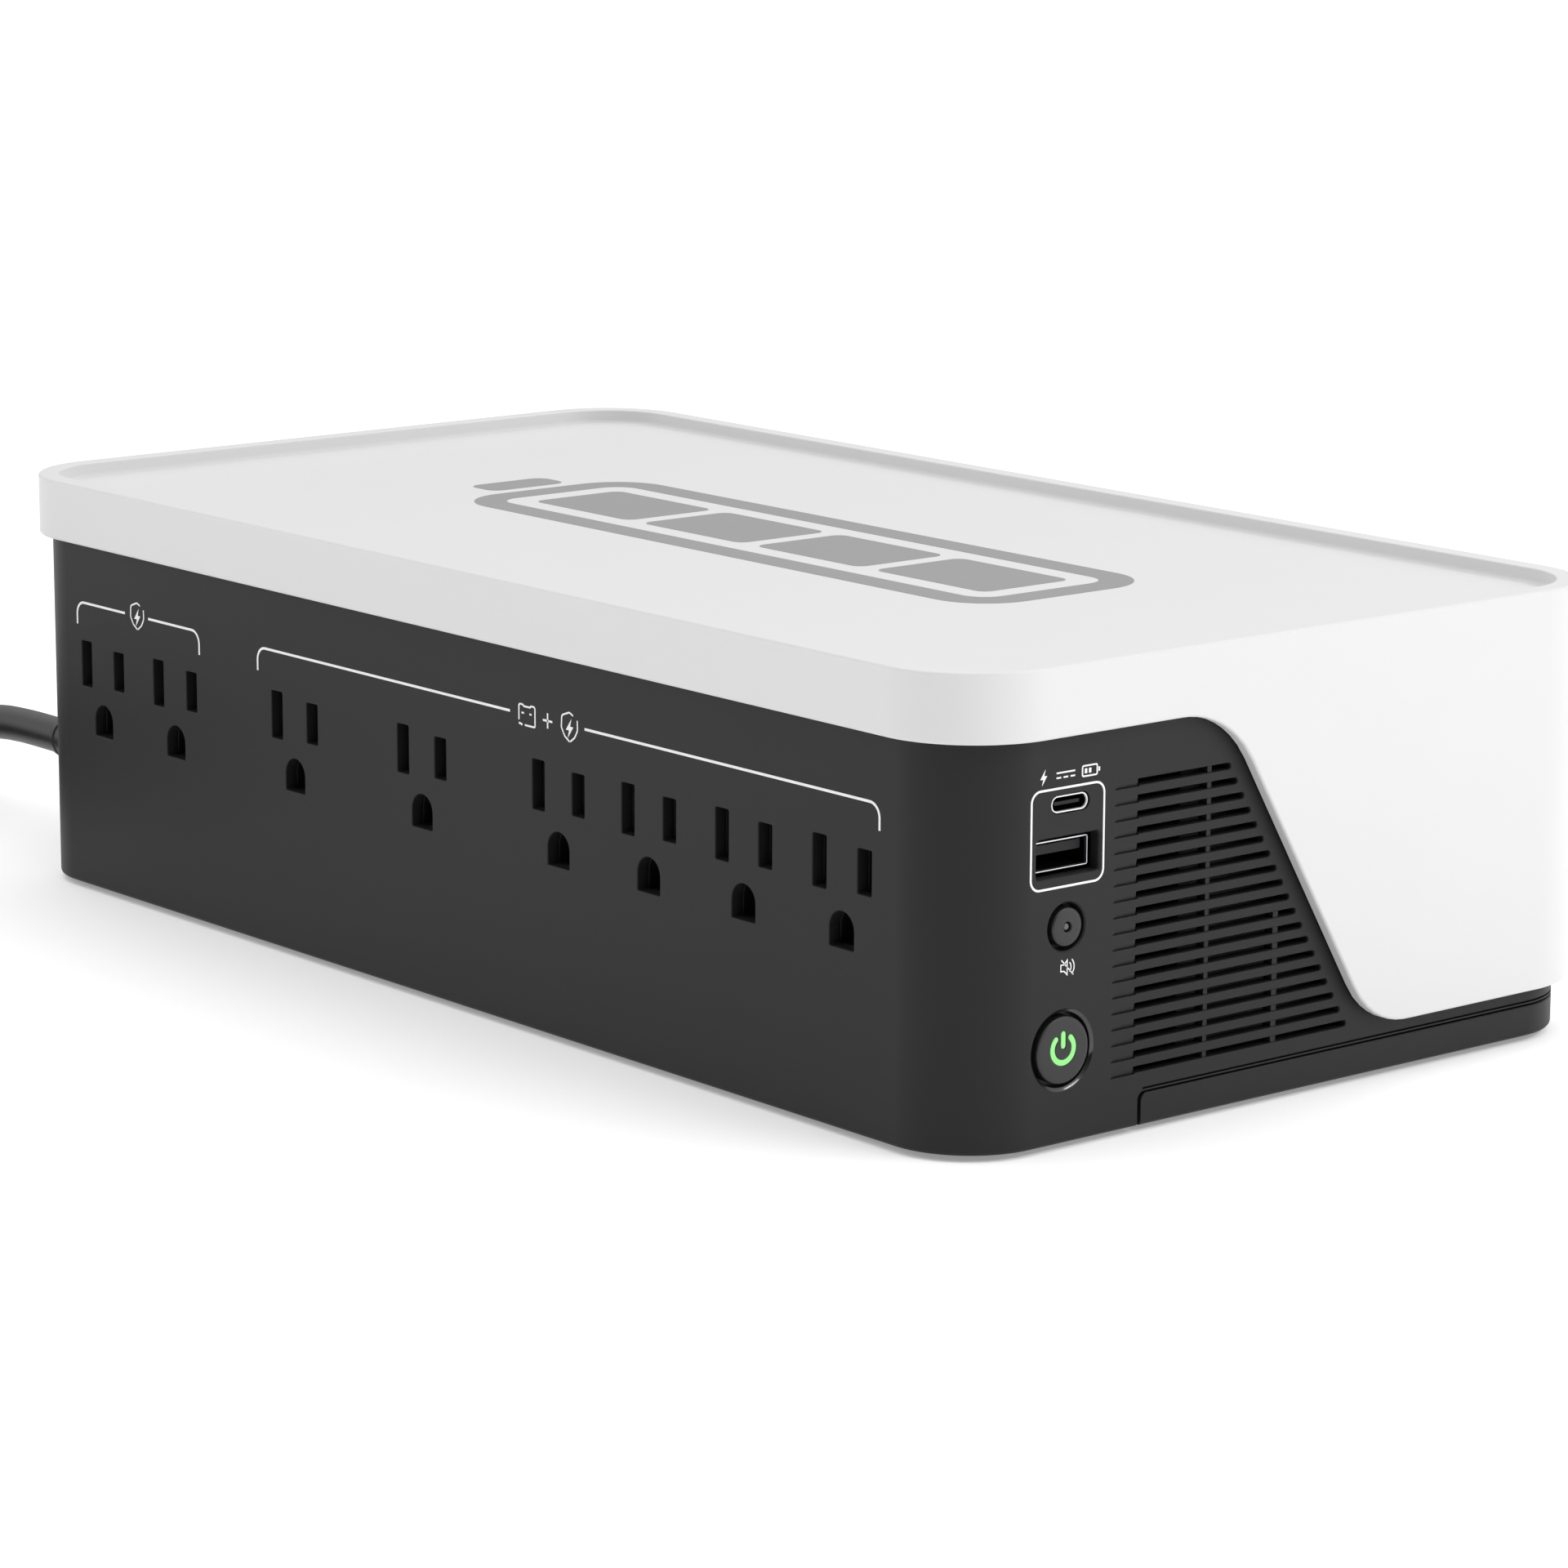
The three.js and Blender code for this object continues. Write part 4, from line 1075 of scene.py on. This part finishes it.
# Feet, screws and the breaker.
def feet():
    """Rubber feet with a small hollow in the middle of the sole."""
    outline = [[1.8, 0.5], [2.2, 0.45], [2.6, 0.05], [3, 0], [5.3, 0], [5.8, 0.2], [6, 0.7]]
    for name, body in FEET.items():
        low, high = box(f"foot_{name}")
        profile = [*[[radius, low.z + height] for radius, height in outline], [6, high.z]]
        foot = turned(middle(f"foot_{name}").xy, profile, in_plan, 48)
        piece(f"foot_{name}_fine", foot, RUBBER, [f"foot_{name}"], body)


def screws():
    """Cross-head screws with a round head and a plain thread of rings."""
    head = [[1.6, 0.02], [2.6, 0.3], [3.1, 0.9], [3.2, 1.3], [3.2, 2.1], [1.5, 2.1]]
    for name in SCREWS:
        low, high = box(f"cover_screw_{name}")
        x, y = screw_at(name)
        profile = [[radius, low.z + height] for radius, height in head]
        thread = low.z + 2.4
        while thread < high.z - 1.4:
            profile += [[1.3, thread], [1.55, thread + 0.35], [1.3, thread + 0.7]]
            thread += 0.9
        profile += [[1.2, high.z - 0.9], [0.3, high.z]]
        screw = shape(turned((x, y), profile, in_plan, 32))
        for wide, long in ((0.35, 1.7), (1.7, 0.35)):
            cut(screw, block((x - wide, x + wide), (y - long, y + long), (low.z - 1, low.z + 1.3)))
        piece(f"cover_screw_{name}_fine", screw, STEEL, [f"cover_screw_{name}"])


def breaker():
    """A push-to-reset breaker: a nut round its bushing, and the red button."""
    low, high = box("breaker_reset_button")
    nut = rounded([(*p, 0.6) for p in arc(BREAKER.xz, 8.2, 0, 300, 5)], steps=4)
    ring = shape(prism(nut, on_rear, [-0.1, -1.9]))
    cut(ring, turned(BREAKER.xz, [[5.4, 1], [5.4, -3]], on_rear, 48))
    piece("breaker_nut", ring, COMPONENT)
    end = REAR - high.y
    profile = [[3.2, REAR - low.y], [3.2, end + 0.6], [3.0, end + 0.2], [2.6, end], [1.4, end + 0.1],
               [0.2, end + 0.18]]
    cap = turned(BREAKER.xz, profile, on_rear, 48)
    piece("breaker_button_fine", cap, RED, ["breaker_reset_button"], "breaker_reset")


feet()
screws()
breaker()

# The pieces inside keep their CAD shapes, with eased edges. A word in a piece's name tells its material,
# and a piece with none of these words is the battery itself or a black component.
LOOKS = {
    "rail": BRASS, "terminal": BRASS, "core": LAMINATED, "coil": COPPER, "board": BOARD, "sink": ALUMINIUM,
    # Tongues take the near-black socket material, which is darkened as painted shade.
    "relay": BLUE, "varistor": BLUE, "pad": FOAM, "red": RED, "black": JACKET, "tongue": SOCKET_SHADE_BLACK,
}


def inner_pieces():
    edge, weld = 0.2, 0.001
    for name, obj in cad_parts.items():
        if obj.hide_render:
            continue
        obj.data.materials.clear()
        looks = [LOOKS[word] for word in name.split("_") if word in LOOKS]
        obj.data.materials.append(looks[0] if looks else CASE if name == "battery" else COMPONENT)
        obj.modifiers.new("weld", "WELD").merge_threshold = weld * MM
        bevel = obj.modifiers.new("edges", "BEVEL")
        bevel.width = edge * MM
        bevel.segments = 2
        bevel.limit_method = "ANGLE"
        bevel.angle_limit = radians(40)


inner_pieces()


# Room: a pale floor, a soft sky that is darker on the camera's side, and three soft lights.
def make_floor():
    reach = 30  # metres, so that no view sees its edge
    corners = [(-reach, -reach, 0), (reach, -reach, 0), (reach, reach, 0), (-reach, reach, 0)]
    mesh = bpy.data.meshes.new("floor")
    mesh.from_pydata(corners, [], [(0, 1, 2, 3)])
    floor = added("floor", mesh)
    mesh.materials.append(surface("pale_floor", 0xf6f6f6, 0.9, grain=2, depth=0.0, mottle=0.005, glow=0.28,
                                  specular=0.1))


def area_light(name, at, target, size, power):
    data = bpy.data.lights.new(name, "AREA")
    data.shape = "RECTANGLE"
    data.size, data.size_y = size
    data.energy = power
    light = added(name, data)
    light.location = at
    light.rotation_euler = (Vector(target) - Vector(at)).to_track_quat("-Z", "Y").to_euler()
    light.visible_camera = False


def make_sky():
    """Bright overhead, dim near the horizon, and dimmer still on the side that faces the photographer."""
    world = bpy.data.worlds.new("sky")
    bpy.context.scene.world = world
    world.use_nodes = True
    tree = world.node_tree
    place = tree.nodes.new("ShaderNodeTexCoord")
    link = tree.links.new
    split = tree.nodes.new("ShaderNodeSeparateXYZ")
    link(place.outputs["Generated"], split.inputs["Vector"])
    height = node(tree, "ShaderNodeMapRange", From_Min=0.0, From_Max=0.8, To_Min=SKY["low"],
                  To_Max=SKY["high"])
    link(split.outputs["Z"], height.inputs["Value"])
    yaw = radians(CAMERA["yaw"])
    side = tree.nodes.new("ShaderNodeVectorMath")
    side.operation = "DOT_PRODUCT"
    side.inputs[1].default_value = (-sin(yaw), -cos(yaw), 0)
    link(place.outputs["Generated"], side.inputs[0])
    shade_side = node(tree, "ShaderNodeMapRange", From_Min=0.35, From_Max=0.95, To_Min=1.0, To_Max=SKY["dim"])
    link(side.outputs["Value"], shade_side.inputs["Value"])
    strength = tree.nodes.new("ShaderNodeMath")
    strength.operation = "MULTIPLY"
    link(height.outputs["Result"], strength.inputs[0])
    link(shade_side.outputs["Result"], strength.inputs[1])
    link(strength.outputs["Value"], tree.nodes["Background"].inputs["Strength"])
    tree.nodes["Background"].inputs["Color"].default_value = (1, 1, 1, 1)


make_floor()
make_sky()
for light_settings in LIGHTS:
    area_light(*light_settings)
bpy.context.scene.view_settings.view_transform = "Standard"
